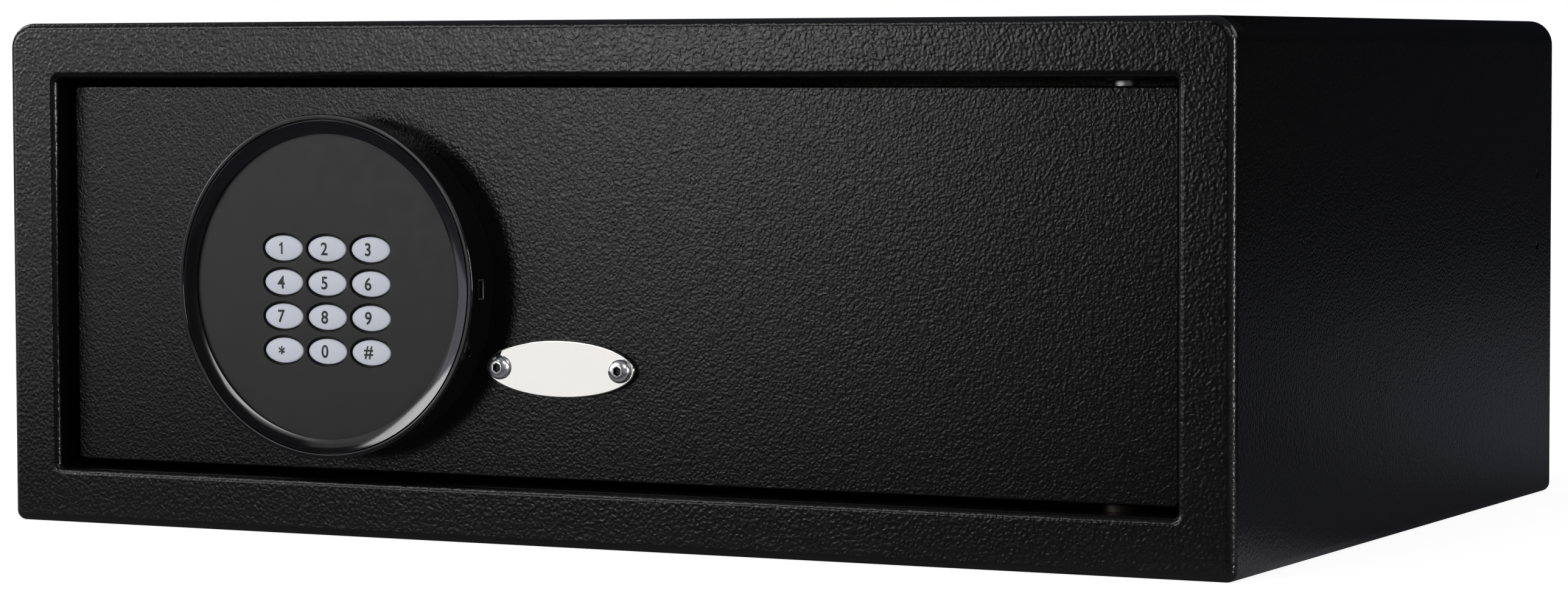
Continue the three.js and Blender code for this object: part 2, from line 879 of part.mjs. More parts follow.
// Emergency lock
function lockBarrel() {
  const start = doorRecess + 0.4;
  const flangeStart = panelBack + seat;
  const bore = plugRadius + running;
  const section = [
    [bore, start],
    [barrelRadius, start],
    [barrelRadius, flangeStart],
    [barrelFlangeRadius, flangeStart],
    [barrelFlangeRadius, flangeStart + barrelFlangeThickness],
    [barrelRadius, flangeStart + barrelFlangeThickness],
    [barrelRadius, start + barrelLength],
    [bore, start + barrelLength],
  ];
  return turned(section.map(([radius, depth]) => [radius, atDepth(depth)]), 24);
}

// The depths of the cam's two faces; it turns in the plane of the carriage's tab
const camDepth = boltDepth - camThickness / 2;
const camBack = camDepth + camThickness;

function lockPlug() {
  const start = doorRecess + 0.8;
  const end = camDepth - seat;
  const body = turned(
    [
      [0, atDepth(start)],
      [plugRadius, atDepth(start)],
      [plugRadius, atDepth(end)],
      [plugTailRadius, atDepth(end)],
      [plugTailRadius, atDepth(camBack + 1)],
      [0, atDepth(camBack + 1)],
    ],
    24,
  );
  const keyway = block(
    -keywayWidth / 2,
    keywayWidth / 2,
    atDepth(start) - 1,
    atDepth(start) + keywayDepth,
    -keywayHeight / 2,
    keywayHeight / 2,
  );
  return cut(body, keyway);
}

function lockCam() {
  const end = camRadius - camWidth / 2;
  const shape = new THREE.Shape();
  shape.absarc(0, 0, camHubRadius, Math.PI / 2, 1.5 * Math.PI);
  shape.lineTo(end, -camWidth / 2);
  shape.absarc(end, 0, camWidth / 2, -Math.PI / 2, Math.PI / 2);
  shape.closePath();
  const lever = slab(shape, atDepth(camDepth), atDepth(camBack), { curveSegments: 8 });
  const hole = rodY(plugTailRadius + seat, atDepth(camDepth) - 1, atDepth(camBack) + 1, 0, 0, 28);
  return cut(lever, hole).rotateY(-camStart);
}

function coverPlate() {
  const back = atDepth(doorRecess - seat);
  const shape = ellipse(0, 0, plateLength / 2, plateHeight / 2);
  const plate = slab(shape, back - plateThickness, back, { chamfer: plateChamfer, curveSegments: 20 });
  const holes = [-1, 1].map((side) =>
    rodY(plateScrewRadius + 0.2, back - 2 * plateThickness, back + 1, (side * plateScrewSpacing) / 2, 0, 16),
  );
  return cut(plate, ...holes);
}

// Lock housing, turned round the dial's axis; depths inside it are measured from the rim
const atRim = (depth) => atDepth(rimDepth + depth);

function lockHousing() {
  const base = dialHeight - seat;
  const wallInner = housingRadius - housingWall;
  const section = [
    [lipInner, 0.4],
    [lipInner + 0.6, 0],
    [dialRadius - 0.6, 0],
    [dialRadius, 0.6],
    [dialRadius, lipLength],
    [housingRadius, lipLength + 0.3],
    [housingRadius, base],
    [wallInner, base],
    [wallInner, ledgeFront + ledgeThickness],
    [ledgeInner, ledgeFront + ledgeThickness],
    [ledgeInner, ledgeFront],
    [boardRadius + seat, ledgeFront],
    [boardRadius + seat, facePlateBack + seat],
    [faceRadius + seat, facePlateBack + seat],
    [faceRadius + seat, facePlateFront + seat],
    [lipInner, facePlateFront + seat],
  ];
  const shell = turned(section.map(([radius, depth]) => [radius, atRim(depth)]), dialSides);
  const bosses = housingScrewPlaces().map(([x, z]) =>
    rodY(bossRadius, atRim(ledgeFront + 0.5), atRim(base), x - dialX, z - dialZ, 20),
  );
  const cup = join(shell, ...bosses);
  const screwHoles = housingScrewPlaces().map(([x, z]) =>
    rodY(screwRadius + seat, atRim(base - bossHoleDepth), atRim(base) + 1, x - dialX, z - dialZ, 12),
  );
  const port = block(
    housingRadius - portDepth,
    dialRadius + 1,
    atRim(portFromRim - portWidth / 2) - portFit,
    atRim(portFromRim + portWidth / 2) + portFit,
    -portLength / 2 - portFit,
    portLength / 2 + portFit,
  ).rotateY(-portAngle);
  const jackHole = rodX(jackRadius + portFit, housingRadius - portDepth, dialRadius + 1, atRim(jackFromRim), 0);
  const jack = jackHole.rotateY(-jackAngle);
  return cut(cup, port, jack, ...screwHoles);
}

function trimRing() {
  const outer = lipInner - groove;
  const section = [
    [outer - ringWidth, facePlateFront - seat],
    [outer, facePlateFront - seat],
    [outer, 0.2],
    [outer - 0.4, 0.2],
    [outer - ringWidth, facePlateFront - 0.5],
  ];
  return turned(section.map(([radius, depth]) => [radius, atRim(depth)]), dialSides);
}

// Where the two screws from behind the panel enter the housing
function housingScrewPlaces() {
  const radius = ledgeInner + housingScrewBeyondLedge;
  return housingScrewAngles.map((angle) => [
    dialX + radius * Math.cos(angle),
    dialZ + radius * Math.sin(angle),
  ]);
}

// The middles of the keys, row by row from the top left, about the dial's axis
function keyPlaces() {
  const places = [];
  for (let row = 0; row < keyRows; row += 1)
    for (let column = 0; column < keyColumns; column += 1) {
      const x = (column - (keyColumns - 1) / 2) * keyPitchX;
      const z = ((keyRows - 1) / 2 - row) * keyPitchZ - keypadBelowDial;
      places.push([x, z]);
    }
  return places;
}

function facePlate() {
  const disc = rodY(faceRadius, atRim(facePlateFront), atRim(facePlateBack), 0, 0, dialSides);
  const holes = keyPlaces().map(([x, z]) =>
    slab(
      ellipse(x, z, keyLength / 2 + keyHoleMargin, keyHeight / 2 + keyHoleTall),
      atRim(facePlateFront) - 1,
      atRim(facePlateBack) + 1,
      { curveSegments: 8 },
    ),
  );
  return cut(disc, ...holes);
}

// A key cap: a crowned oval with a flange behind the face plate
function keyCap() {
  const half = keyLength / 2;
  const flat = keyHeight / keyLength;
  const cap = turned(
    [
      [0, atRim(keyFlangeBack)],
      [0, atRim(facePlateFront + keySink - keyCrown)],
      [0.6 * half, atRim(facePlateFront + keySink - 0.7 * keyCrown)],
      [half, atRim(facePlateFront + keySink)],
      [half, atRim(keyFlangeBack)],
    ],
    16,
  ).scale(1, 1, flat);
  const flangeX = half + keyHoleMargin + keyFlange;
  const flangeZ = keyHeight / 2 + keyHoleTall + keyFlange / 2;
  const flange = slab(ellipse(0, 0, flangeX, flangeZ), atRim(keyFlangeFront), atRim(keyFlangeBack), {
    curveSegments: 6,
  });
  return join(cap, flange);
}

function keyMat() {
  const halfX = (keyColumns * keyPitchX) / 2 + keyMatMargin;
  const halfZ = (keyRows * keyPitchZ) / 2 + keyMatMargin;
  const sheetOutline = roundedRect(
    -halfX,
    halfX,
    -halfZ - keypadBelowDial,
    halfZ - keypadBelowDial,
    4,
  );
  return slab(sheetOutline, atRim(keyMatFront), atRim(keyMatBack), { curveSegments: 4 });
}

function usbPort() {
  const y0 = atRim(portFromRim - portWidth / 2);
  const y1 = atRim(portFromRim + portWidth / 2);
  const face = housingRadius - 0.3;
  const inner = housingRadius - portDepth + seat;
  const half = portLength / 2;
  const shell = block(inner, face, y0, y1, -half, half);
  const inside = half - portWall;
  const mouth = block(inner + portWall, face + 1, y0 + portWall, y1 - portWall, -inside, inside);
  const tongueY = (y0 + y1) / 2;
  const tongue = block(inner + 0.1, face - 0.8, tongueY - 0.4, tongueY + 0.4, -half + 1.6, half - 1.6);
  return join(cut(shell, mouth), tongue).rotateY(-portAngle);
}

function powerJack() {
  const inner = housingRadius - portDepth + seat;
  const face = housingRadius - 0.2;
  return turned(
    [
      [0, inner],
      [jackRadius, inner],
      [jackRadius, face - 0.3],
      [jackRadius - 0.3, face],
      [jackHoleRadius, face],
      [jackHoleRadius, inner + 1],
      [jackPinRadius, inner + 1],
      [jackPinRadius, face - 1],
      [0, face - 1],
    ],
    16,
  )
    .rotateZ(-Math.PI / 2)
    .translate(0, atRim(jackFromRim), 0)
    .rotateY(-jackAngle);
}

function controlBoard() {
  const front = atDepth(panelBack + seat);
  const boardY = front + controlStandoff;
  const halfX = controlWidth / 2;
  const halfZ = controlHeight / 2;
  const board = slab(roundedRect(-halfX, halfX, -halfZ, halfZ, 2), boardY, boardY + boardThickness, {
    curveSegments: 2,
  });
  const legs = [-1, 1].flatMap((sideX) =>
    [-1, 1].map((sideZ) =>
      rodY(
        standoffRadius,
        front,
        boardY + 0.5,
        sideX * (halfX - standoffInset),
        sideZ * (halfZ - standoffInset),
        12,
      ),
    ),
  );
  return join(board, ...legs);
}

// Finishes
const finish = (color, roughness, metalness) =>
  new THREE.MeshStandardMaterial({ color, roughness, metalness });
const blackPaint = finish(0x1b1b1c, 0.5, 0.1);
const steel = finish(0xb9bcc0, 0.3, 1);
const polishedSteel = finish(0xe9e9e6, 0.08, 1);
const zincPlate = finish(0x9ea3a8, 0.4, 1);
const brass = finish(0xb08d4a, 0.35, 1);
const glossBlack = finish(0x08080a, 0.12, 0);
const mattBlack = finish(0x2c2c2e, 0.6, 0);
const keyGrey = finish(0xb2b4be, 0.6, 0);
const rubber = finish(0x161616, 0.8, 0);
const boardGreen = finish(0x0d4a30, 0.45, 0);
const cellSleeve = finish(0x2f3338, 0.35, 0);

// Assembly
const safe = new THREE.Group();

function add(group, name, geometry, material, position = [0, 0, 0]) {
  const mesh = new THREE.Mesh(geometry, material);
  mesh.name = name;
  mesh.position.set(...position);
  group.add(mesh);
  return mesh;
}

const body = new THREE.Group();
safe.add(body);
add(body, "body_wrap", bodyWrap(), blackPaint);
add(body, "front_frame", frontFrame(), blackPaint);
add(body, "back_plate", backPlate(), blackPaint);
add(body, "floor_mat", floorMat(), rubber);
for (const [side, name] of [[-1, "left"], [1, "right"]]) {
  const x = (side * anchorSpacing) / 2;
  add(body, `base_plug_${name}`, anchorPlug(), mattBlack, [x, 0, sheet]).rotation.x = Math.PI / 2;
}
const upperBush = add(body, "upper_hinge_bush", hingeBush(upperBushFlangeThickness), brass, [
  hingeX,
  atDepth(hingeDepth),
  openingTop - seat - upperBushFlangeThickness,
]);
upperBush.rotation.x = Math.PI / 2;
const lowerBush = add(body, "lower_hinge_bush", hingeBush(lowerBushFlangeThickness), brass, [
  hingeX,
  atDepth(hingeDepth),
  openingBottom + seat + lowerBushFlangeThickness,
]);
lowerBush.rotation.x = -Math.PI / 2;

const door = new THREE.Group();
safe.add(door);
add(door, "door_panel", doorPanel(), blackPaint);
for (const [name, z, turn] of [["upper", doorTop, 0], ["lower", doorBottom, Math.PI]]) {
  const place = [hingeX, atDepth(hingeDepth), z];
  add(door, `${name}_hinge_block`, hingeBlock(), steel, place).rotation.y = turn;
  add(door, `${name}_hinge_pin`, hingePin(name === "upper"), steel, place).rotation.y = turn;
}
add(door, "inner_cover", innerCover(), blackPaint);
// Screws whose heads are behind the panel, at a depth of their seats
function addRearScrews(name, places, depth, shank) {
  places.forEach(([x, z], index) => {
    const geometry = screw(screwHeadRadius, screwHead, screwRadius, shank, 12);
    const mesh = add(door, `${name}_${index + 1}`, geometry, zincPlate, [x, atDepth(depth + seat), z]);
    mesh.rotation.x = Math.PI;
  });
}
addRearScrews("cover_screw", coverScrewPlaces(), panelBack + seat + coverSheet, coverScrewGrip + coverSheet);
addRearScrews("housing_screw", housingScrewPlaces(), panelBack, panelThickness + bossHoleDepth - 0.5);
add(door, "battery_tray", batteryTray(), mattBlack);
const cellPitch = 2 * cellRadius + cellGap;
for (let index = 0; index < cellCount; index += 1) {
  const z = doorMiddle + (index - (cellCount - 1) / 2) * cellPitch;
  const y = atDepth(coverBack - coverSheet - seat - trayWall - cellRadius - seat);
  const lying = add(door, `battery_${index + 1}`, cell(), cellSleeve, [batteryX, y, z]);
  lying.rotation.y = index % 2 ? Math.PI : 0;
}
add(door, "battery_lid", batteryLid(), mattBlack, [batteryX, atDepth(coverBack + seat), doorMiddle]);
add(door, "bolt_guide", boltGuide(), zincPlate);
add(door, "gear_motor", gearMotor(), zincPlate);
add(door, "lock_barrel", lockBarrel(), zincPlate, [plateX, 0, plateZ]);
add(door, "cover_plate", coverPlate(), polishedSteel, [plateX, 0, plateZ]);
for (const [side, name] of [[-1, "left"], [1, "right"]]) {
  const head = atDepth(doorRecess - seat - plateThickness - seat);
  const length = plateThickness + plateScrewGrip;
  const geometry = screw(plateScrewHeadRadius, plateScrewHead, plateScrewRadius, length, 24);
  const x = plateX + (side * plateScrewSpacing) / 2;
  add(door, `plate_screw_${name}`, geometry, polishedSteel, [x, head, plateZ]);
}
const boardX = cableX - controlFromCable + controlWidth / 2;
const boardZ = coverTop - coverSheet - controlFromCoverTop - controlHeight / 2;
add(door, "control_board", controlBoard(), boardGreen, [boardX, 0, boardZ]);
const cableStart = atRim(boardBack) + seat;
const cableEnd = atDepth(panelBack + seat + controlStandoff) - seat;
const cable = rodY(cableRadius, cableStart, cableEnd, cableX, cableZ, 12);
add(door, "keypad_cable", cable, mattBlack);

const dial = new THREE.Group();
dial.position.set(dialX, 0, dialZ);
door.add(dial);
add(dial, "lock_housing", lockHousing(), glossBlack);
add(dial, "trim_ring", trimRing(), glossBlack);
add(dial, "face_plate", facePlate(), mattBlack);
add(dial, "key_mat", keyMat(), rubber);
add(dial, "keypad_board", rodY(boardRadius, atRim(boardFront), atRim(boardBack), 0, 0, 48), boardGreen);
add(dial, "usb_port", usbPort(), steel);
add(dial, "power_jack", powerJack(), glossBlack);
const keyNames = ["1", "2", "3", "4", "5", "6", "7", "8", "9", "clear", "0", "lock"];
const capGeometry = keyCap();
keyPlaces().forEach(([x, z], index) => {
  add(dial, `key_${keyNames[index]}`, capGeometry, keyGrey, [x, 0, z]);
});

const boltWork = new THREE.Group();
door.add(boltWork);
add(boltWork, "bolt_carriage", boltCarriage(), zincPlate);
["lower", "upper"].forEach((name, index) => {
  add(boltWork, `${name}_bolt`, bolt(), steel, [0, atDepth(boltDepth), boltHeights[index]]);
});
add(door, "drive_pinion", drivePinion(), brass, [pinionX, atDepth(boltDepth), pinionZ]);

const emergencyLock = new THREE.Group();
emergencyLock.position.set(plateX, 0, plateZ);
door.add(emergencyLock);
add(emergencyLock, "lock_plug", lockPlug(), brass);
add(emergencyLock, "lock_cam", lockCam(), steel);

export default safe;
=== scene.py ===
"""Looks of a hotel laptop safe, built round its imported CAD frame.

+X is to the right seen from the front, +Y to the back and +Z up. Shapes are written in
millimetres and turned into metres when their mesh is made. A depth is measured back from
the front face.
"""
import math

import bmesh
import bpy
from mathutils import Matrix, Vector


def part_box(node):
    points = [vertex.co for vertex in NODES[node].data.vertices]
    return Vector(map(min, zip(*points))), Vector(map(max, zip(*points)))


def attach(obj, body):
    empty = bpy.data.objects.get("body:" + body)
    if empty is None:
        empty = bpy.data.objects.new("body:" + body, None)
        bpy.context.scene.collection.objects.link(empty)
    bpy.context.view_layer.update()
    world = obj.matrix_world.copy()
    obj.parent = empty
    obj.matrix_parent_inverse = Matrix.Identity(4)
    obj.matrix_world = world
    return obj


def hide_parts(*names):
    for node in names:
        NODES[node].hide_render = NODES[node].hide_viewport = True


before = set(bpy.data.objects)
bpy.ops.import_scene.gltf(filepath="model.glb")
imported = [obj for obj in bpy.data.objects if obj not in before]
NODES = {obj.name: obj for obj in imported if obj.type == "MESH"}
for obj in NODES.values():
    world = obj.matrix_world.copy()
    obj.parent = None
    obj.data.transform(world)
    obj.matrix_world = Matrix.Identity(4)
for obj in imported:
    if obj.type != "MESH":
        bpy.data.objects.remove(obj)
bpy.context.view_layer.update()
MM = 0.001
IMAGE_WIDTH = 2576
FOCAL_PIXELS = 7384.4
CAMERA_PLACE = (0.8262, -1.6655, 0.1856)
YAW, TILT, ROLL = 26.614, 3.084, -0.17


def cad_box(node):
    low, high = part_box(node)
    return low / MM, high / MM


def middle_of(node):
    """The x and z of the middle of a node's box."""
    low, high = cad_box(node)
    return (low.x + high.x) / 2, (low.z + high.z) / 2


# Camera, at the photograph's viewing angle
def add_camera():
    yaw, tilt, roll = (math.radians(angle) for angle in (YAW, TILT, ROLL))
    level_right = Vector((math.cos(yaw), math.sin(yaw), 0))
    level_forward = Vector((-math.sin(yaw), math.cos(yaw), 0))
    forward = level_forward * math.cos(tilt) - Vector((0, 0, math.sin(tilt)))
    upright = Vector((0, 0, math.cos(tilt))) + level_forward * math.sin(tilt)
    right = level_right * math.cos(roll) + upright * math.sin(roll)
    up = upright * math.cos(roll) - level_right * math.sin(roll)
    data = bpy.data.cameras.new("camera")
    data.sensor_fit = "HORIZONTAL"
    data.sensor_width = 36
    data.lens = data.sensor_width * FOCAL_PIXELS / IMAGE_WIDTH
    data.clip_start = 0.01
    camera = bpy.data.objects.new("camera", data)
    turn = Matrix((right, up, -forward)).transposed().to_4x4()
    camera.matrix_world = Matrix.Translation(CAMERA_PLACE) @ turn
    bpy.context.scene.collection.objects.link(camera)
    bpy.context.scene.camera = camera


# Materials
class Nodes:
    """Short ways to add nodes to a shader's node tree."""

    def __init__(self, tree):
        self.tree = tree

    def feed(self, socket, value):
        if isinstance(value, bpy.types.NodeSocket):
            self.tree.links.new(value, socket)
        else:
            socket.default_value = value

    def node(self, kind, inputs, output, **settings):
        node = self.tree.nodes.new(kind)
        for name, value in settings.items():
            setattr(node, name, value)
        for name, value in inputs.items():
            self.feed(node.inputs[name], value)
        return node.outputs[output]

    def math(self, operation, *values):
        return self.node("ShaderNodeMath", dict(enumerate(values)), 0, operation=operation)

    def both(self, first, second):
        return self.math("MULTIPLY", first, second)

    def either(self, first, second):
        return self.math("MAXIMUM", first, second)

    def span(self, value, low, high, from_low=0.3, from_high=0.7):
        inputs = {
            "Value": value,
            "From Min": from_low,
            "From Max": from_high,
            "To Min": low,
            "To Max": high,
        }
        return self.node("ShaderNodeMapRange", inputs, "Result", interpolation_type="SMOOTHSTEP")

    def blend(self, factor, first, second):
        """Mixes two colours, each a tuple or a socket."""
        node = self.tree.nodes.new("ShaderNodeMix")
        node.data_type = "RGBA"
        for index, value in ((0, factor), (6, first), (7, second)):
            self.feed(node.inputs[index], (*value, 1) if isinstance(value, tuple) else value)
        return node.outputs[2]

    def ray(self, kind):
        return self.node("ShaderNodeLightPath", {}, f"Is {kind} Ray")

    def finish(self, kind, shader):
        self.feed(self.tree.nodes.new(kind).inputs["Surface"], shader)


class Surface(Nodes):
    """A Principled material whose textures are laid out in object coordinates."""

    def __init__(self, name, color, roughness, metallic=0.0, specular=0.5, **sockets):
        self.material = bpy.data.materials.new(name)
        self.material.use_nodes = True
        super().__init__(self.material.node_tree)
        self.shader = self.tree.nodes["Principled BSDF"]
        self.set(**{"Base Color": (*color, 1), "Roughness": roughness, "Metallic": metallic})
        self.set(**{"Specular IOR Level": specular}, **sockets)
        self.place = self.tree.nodes.new("ShaderNodeTexCoord").outputs["Object"]

    def set(self, **sockets):
        for name, value in sockets.items():
            self.shader.inputs[name].default_value = value

    def noise(self, size, detail=2.0, place=None, **inputs):
        """Soft noise whose lumps are about size millimetres across."""
        values = {"Vector": place or self.place, "Scale": 1 / (size * MM), "Detail": detail, **inputs}
        return self.node("ShaderNodeTexNoise", values, "Fac")

    def cells(self, size, smoothness=0.7, place=None):
        """Distance from the middles of rounded cells about size millimetres across."""
        values = {"Vector": place or self.place, "Scale": 1 / (size * MM), "Smoothness": smoothness}
        return self.node("ShaderNodeTexVoronoi", values, "Distance", feature="SMOOTH_F1")

    def stretched(self, x=1.0, y=1.0, z=1.0):
        return self.node("ShaderNodeMapping", {"Vector": self.place, "Scale": (x, y, z)}, "Vector")

    def warped(self, size, amount):
        """Object coordinates pushed about by noise, amount in millimetres."""
        drift = self.node(
            "ShaderNodeTexNoise", {"Vector": self.place, "Scale": 1 / (size * MM)}, "Color"
        )
        drift = self.node(
            "ShaderNodeVectorMath", {0: drift, 1: (0.5, 0.5, 0.5)}, "Vector", operation="SUBTRACT"
        )
        values = {0: drift, 1: (2 * amount * MM,) * 3, 2: self.place}
        return self.node("ShaderNodeVectorMath", values, "Vector", operation="MULTIPLY_ADD")

    def color(self, factor, first, second):
        self.feed(self.shader.inputs["Base Color"], self.blend(factor, first, second))

    def roughness(self, value, low, high, from_low=0.3, from_high=0.7):
        self.feed(self.shader.inputs["Roughness"], self.span(value, low, high, from_low, from_high))

    def bump(self, height, depth, strength=1.0):
        """Relief whose height runs from 0 to 1 over depth millimetres."""
        inputs = {"Height": height, "Distance": depth * MM, "Strength": strength}
        normal = self.node("ShaderNodeBump", inputs, "Normal")
        self.feed(self.shader.inputs["Normal"], normal)


# The outside coat is far blacker than a real one, so that it looks as black as in the photograph.
OUTSIDE_TONE = 0.0015
# The inside coat is painted far lighter than the outside one: painted light, so that the inside shows with
# the door open.
INSIDE_LIT_TONE = 0.035


def powder_coat(name, grain, depth, tone=OUTSIDE_TONE, rough=(0.2, 0.3), specular=0.3):
    """Black textured powder coat: short curved ridges, rounded off, with finer grain on them."""
    paint = Surface(name, (tone,) * 3, rough[0], specular=specular)
    place = paint.warped(grain * 3, grain * 0.4)
    ridges = paint.noise(grain, 0.0, place, Distortion=0.35)
    pebbles = paint.cells(grain * 1.3, 1.0, place)
    height = paint.math("MULTIPLY_ADD", pebbles, -0.25, ridges)
    height = paint.math("MULTIPLY_ADD", paint.noise(grain * 0.4, 1.0), 0.06, height)
    paint.bump(height, depth)
    patches = paint.noise(45, 3.0)
    paint.color(patches, (tone * 0.85,) * 3, (tone * 1.2, tone * 1.18, tone * 1.14))
    paint.roughness(paint.noise(grain * 0.9, 3.0), *rough)
    return paint.material


def turned_metal(name, color, roughness, streak=(1, 1, 1), depth=0.004):
    """Metal with fine machining marks, roughness patches and a slight tarnish."""
    metal = Surface(name, color, roughness, metallic=1.0)
    marks = metal.noise(0.35, 3.0, place=metal.stretched(*streak))
    metal.bump(marks, depth)
    patches = metal.noise(9, 4.0)
    metal.roughness(patches, roughness * 0.75, roughness * 1.3)
    dull = tuple(channel * 0.82 for channel in color)
    metal.color(metal.noise(4, 5.0), dull, color)
    return metal.material


def moulded(name, color, roughness, grain=0.5, depth=0.01, variation=0.12, specular=0.5, **sockets):
    """Moulded plastic or rubber with a fine surface grain and slight unevenness."""
    plastic = Surface(name, color, roughness, specular=specular, **sockets)
    height = plastic.math("MULTIPLY_ADD", plastic.noise(grain, 3.0), 0.8, plastic.noise(grain * 9, 1.0))
    plastic.bump(height, depth)
    plastic.roughness(plastic.noise(6, 4.0), roughness * 0.88, roughness * 1.14)
    darker = tuple(channel * (1 - variation) for channel in color)
    lighter = tuple(channel * (1 + variation) for channel in color)
    plastic.color(plastic.noise(14, 4.0), darker, lighter)
    return plastic.material


def polished_metal(name, color, roughness):
    """Mirror finish with very fine polishing lines and a faint waviness."""
    metal = Surface(name, color, roughness, metallic=1.0)
    lines = metal.noise(0.12, 2.0, place=metal.stretched(0.06, 1, 1))
    metal.bump(metal.math("MULTIPLY_ADD", lines, 0.02, metal.noise(30, 1.0)), 0.004)
    metal.roughness(metal.noise(5, 5.0), roughness * 0.8, roughness * 1.5)
    metal.color(metal.noise(12, 3.0), tuple(0.97 * channel for channel in color), color)
    return metal.material


def circuit_board(name):
    """Green solder mask over tracks, with a scatter of pads."""
    board = Surface(name, (0.01, 0.08, 0.035), 0.35)
    tracks = board.node(
        "ShaderNodeTexBrick",
        {"Vector": board.stretched(1, 1, 1.7), "Scale": 260, "Mortar Size": 0.012},
        "Fac",
    )
    board.color(tracks, (0.01, 0.075, 0.032), (0.03, 0.17, 0.07))
    board.bump(tracks, 0.03)
    board.roughness(board.noise(3, 3.0), 0.28, 0.42)
    return board.material


def cell_sleeve(name):
    """Shrink sleeve of a round cell, dark with faint random patches."""
    sleeve = Surface(name, (0.03, 0.035, 0.04), 0.3)
    wrinkles = sleeve.noise(1.5, 3.0, place=sleeve.stretched(3, 1, 1))
    sleeve.bump(wrinkles, 0.02)
    sleeve.color(sleeve.noise(20, 2.0), (0.025, 0.03, 0.034), (0.045, 0.05, 0.056))
    sleeve.roughness(sleeve.noise(2, 3.0), 0.25, 0.38)
    return sleeve.material


FINISHES = {
    "frame_paint": powder_coat("frame_paint", 1.3, 0.125, rough=(0.2, 0.26), specular=0.36),
    "side_paint": powder_coat("side_paint", 1.0, 0.1, rough=(0.14, 0.2), specular=0.5),
    "door_paint": powder_coat("door_paint", 1.0, 0.1, rough=(0.2, 0.26)),
    "cover_paint": powder_coat("cover_paint", 1.0, 0.1, tone=INSIDE_LIT_TONE, specular=0.5),
    "inside_paint": powder_coat("inside_paint", 1.1, 0.12, tone=INSIDE_LIT_TONE, specular=0.5),
    "bare_steel": turned_metal("bare_steel", (0.56, 0.57, 0.58), 0.24),
    "zinc": turned_metal("zinc_plated_steel", (0.48, 0.50, 0.53), 0.36),
    "brass": turned_metal("brass", (0.66, 0.46, 0.18), 0.3),
    # The bushes' brass is painted nearly black: painted shade for the dark gaps they sit in.
    "bush_brass": turned_metal("bush_brass", (0.03, 0.025, 0.02), 0.55),
    "mirror": polished_metal("mirror_steel", (0.9, 0.89, 0.86), 0.03),
    "chrome": polished_metal("chrome_screw", (0.92, 0.92, 0.93), 0.2),
    # Near-black metal: painted shade for the insides of the screw sockets.
    "socket_painted_shade": turned_metal("socket_painted_shade", (0.05, 0.05, 0.052), 0.4),
    "pin_steel": polished_metal("pin_steel", (0.95, 0.95, 0.95), 0.38),
    "port_steel": turned_metal("port_steel", (0.3, 0.3, 0.31), 0.3),
    "gloss_black": moulded("gloss_black", (0.004, 0.004, 0.0045), 0.09, grain=2.5, depth=0.002),
    "matt_black": moulded("matt_black", (0.02, 0.02, 0.021), 0.5, grain=0.35, depth=0.02),
    "face_grey": moulded("face_grey", (0.009, 0.009, 0.0095), 0.38, grain=0.25, depth=0.006, specular=0.3),
    "black_plastic": moulded("black_plastic", (0.016, 0.016, 0.017), 0.42),
    "key_grey": moulded("key_grey", (0.41, 0.425, 0.475), 0.45, grain=0.3, depth=0.008, variation=0.04),
    "ink": moulded("ink", (0.006, 0.006, 0.007), 0.5, grain=0.3, depth=0.004),
    "rubber": moulded("rubber", (0.014, 0.014, 0.014), 0.7, grain=0.8, depth=0.05),
    "board": circuit_board("circuit_board"),
    "sleeve": cell_sleeve("cell_sleeve"),
}


# Forms: lists of points in millimetres and of faces
def loft(rows, ring=True):
    """Quads between loops of points. A ring joins the last loop to the first, any other form is capped."""
    width = len(rows[0])
    points = [tuple(point) for row in rows for point in row]
    faces = []
    for i in range(len(rows) if ring else len(rows) - 1):
        below, above = i * width, (i + 1) % len(rows) * width
        for j in range(width):
            k = (j + 1) % width
            faces.append((below + j, above + j, above + k, below + k))
    if not ring:
        faces.append(tuple(range(width)))
        faces.append(tuple(range((len(rows) - 1) * width, len(rows) * width)))
    return points, faces


def joined(*forms):
    points, faces = [], []
    for form_points, form_faces in forms:
        faces += [tuple(len(points) + corner for corner in face) for face in form_faces]
        points += form_points
    return points, faces


def shifted(form, x=0.0, y=0.0, z=0.0):
    points, faces = form
    return [(px + x, py + y, pz + z) for px, py, pz in points], faces


def turned(form, matrix):
    points, faces = form
    return [tuple(matrix @ Vector(point)) for point in points], faces


ALONG_X = Matrix(((0, 1, 0), (1, 0, 0), (0, 0, 1)))
ALONG_Z = Matrix(((1, 0, 0), (0, 0, 1), (0, 1, 0)))


def lathe(profile, sides=96):
    """A closed profile of (radius, y) points, turned about the y axis."""
    rows = []
    for radius, y in profile:
        reach = max(radius, 0.0)
        angles = (2 * math.pi * side / sides for side in range(sides))
        rows.append([(reach * math.cos(angle), y, reach * math.sin(angle)) for angle in angles])
    return loft(rows)


def arc(x, y, radius, start, end, steps=6):
    """Points of an arc, its angles in degrees."""
    points = []
    for step in range(steps + 1):
        angle = math.radians(start + (end - start) * step / steps)
        points.append((x + radius * math.cos(angle), y + radius * math.sin(angle)))
    return points


def rod(radius, y0, y1, sides=48):
    angles = [2 * math.pi * side / sides for side in range(sides)]
    rows = [[(radius * math.cos(a), y, radius * math.sin(a)) for a in angles] for y in (y0, y1)]
    return loft(rows, ring=False)


def rounded_rect(x0, x1, z0, z1, top, bottom, steps=8):
    """Points of a rectangle with rounded corners, in x and z, from its top right corner on."""
    points = []
    points += arc(x1 - top, z1 - top, top, 0, 90, steps)
    points += arc(x0 + top, z1 - top, top, 90, 180, steps)
    points += arc(x0 + bottom, z0 + bottom, bottom, 180, 270, steps)
    points += arc(x1 - bottom, z0 + bottom, bottom, 270, 360, steps)
    return points


def at_depth(outline, y):
    return [(x, y, z) for x, z in outline]


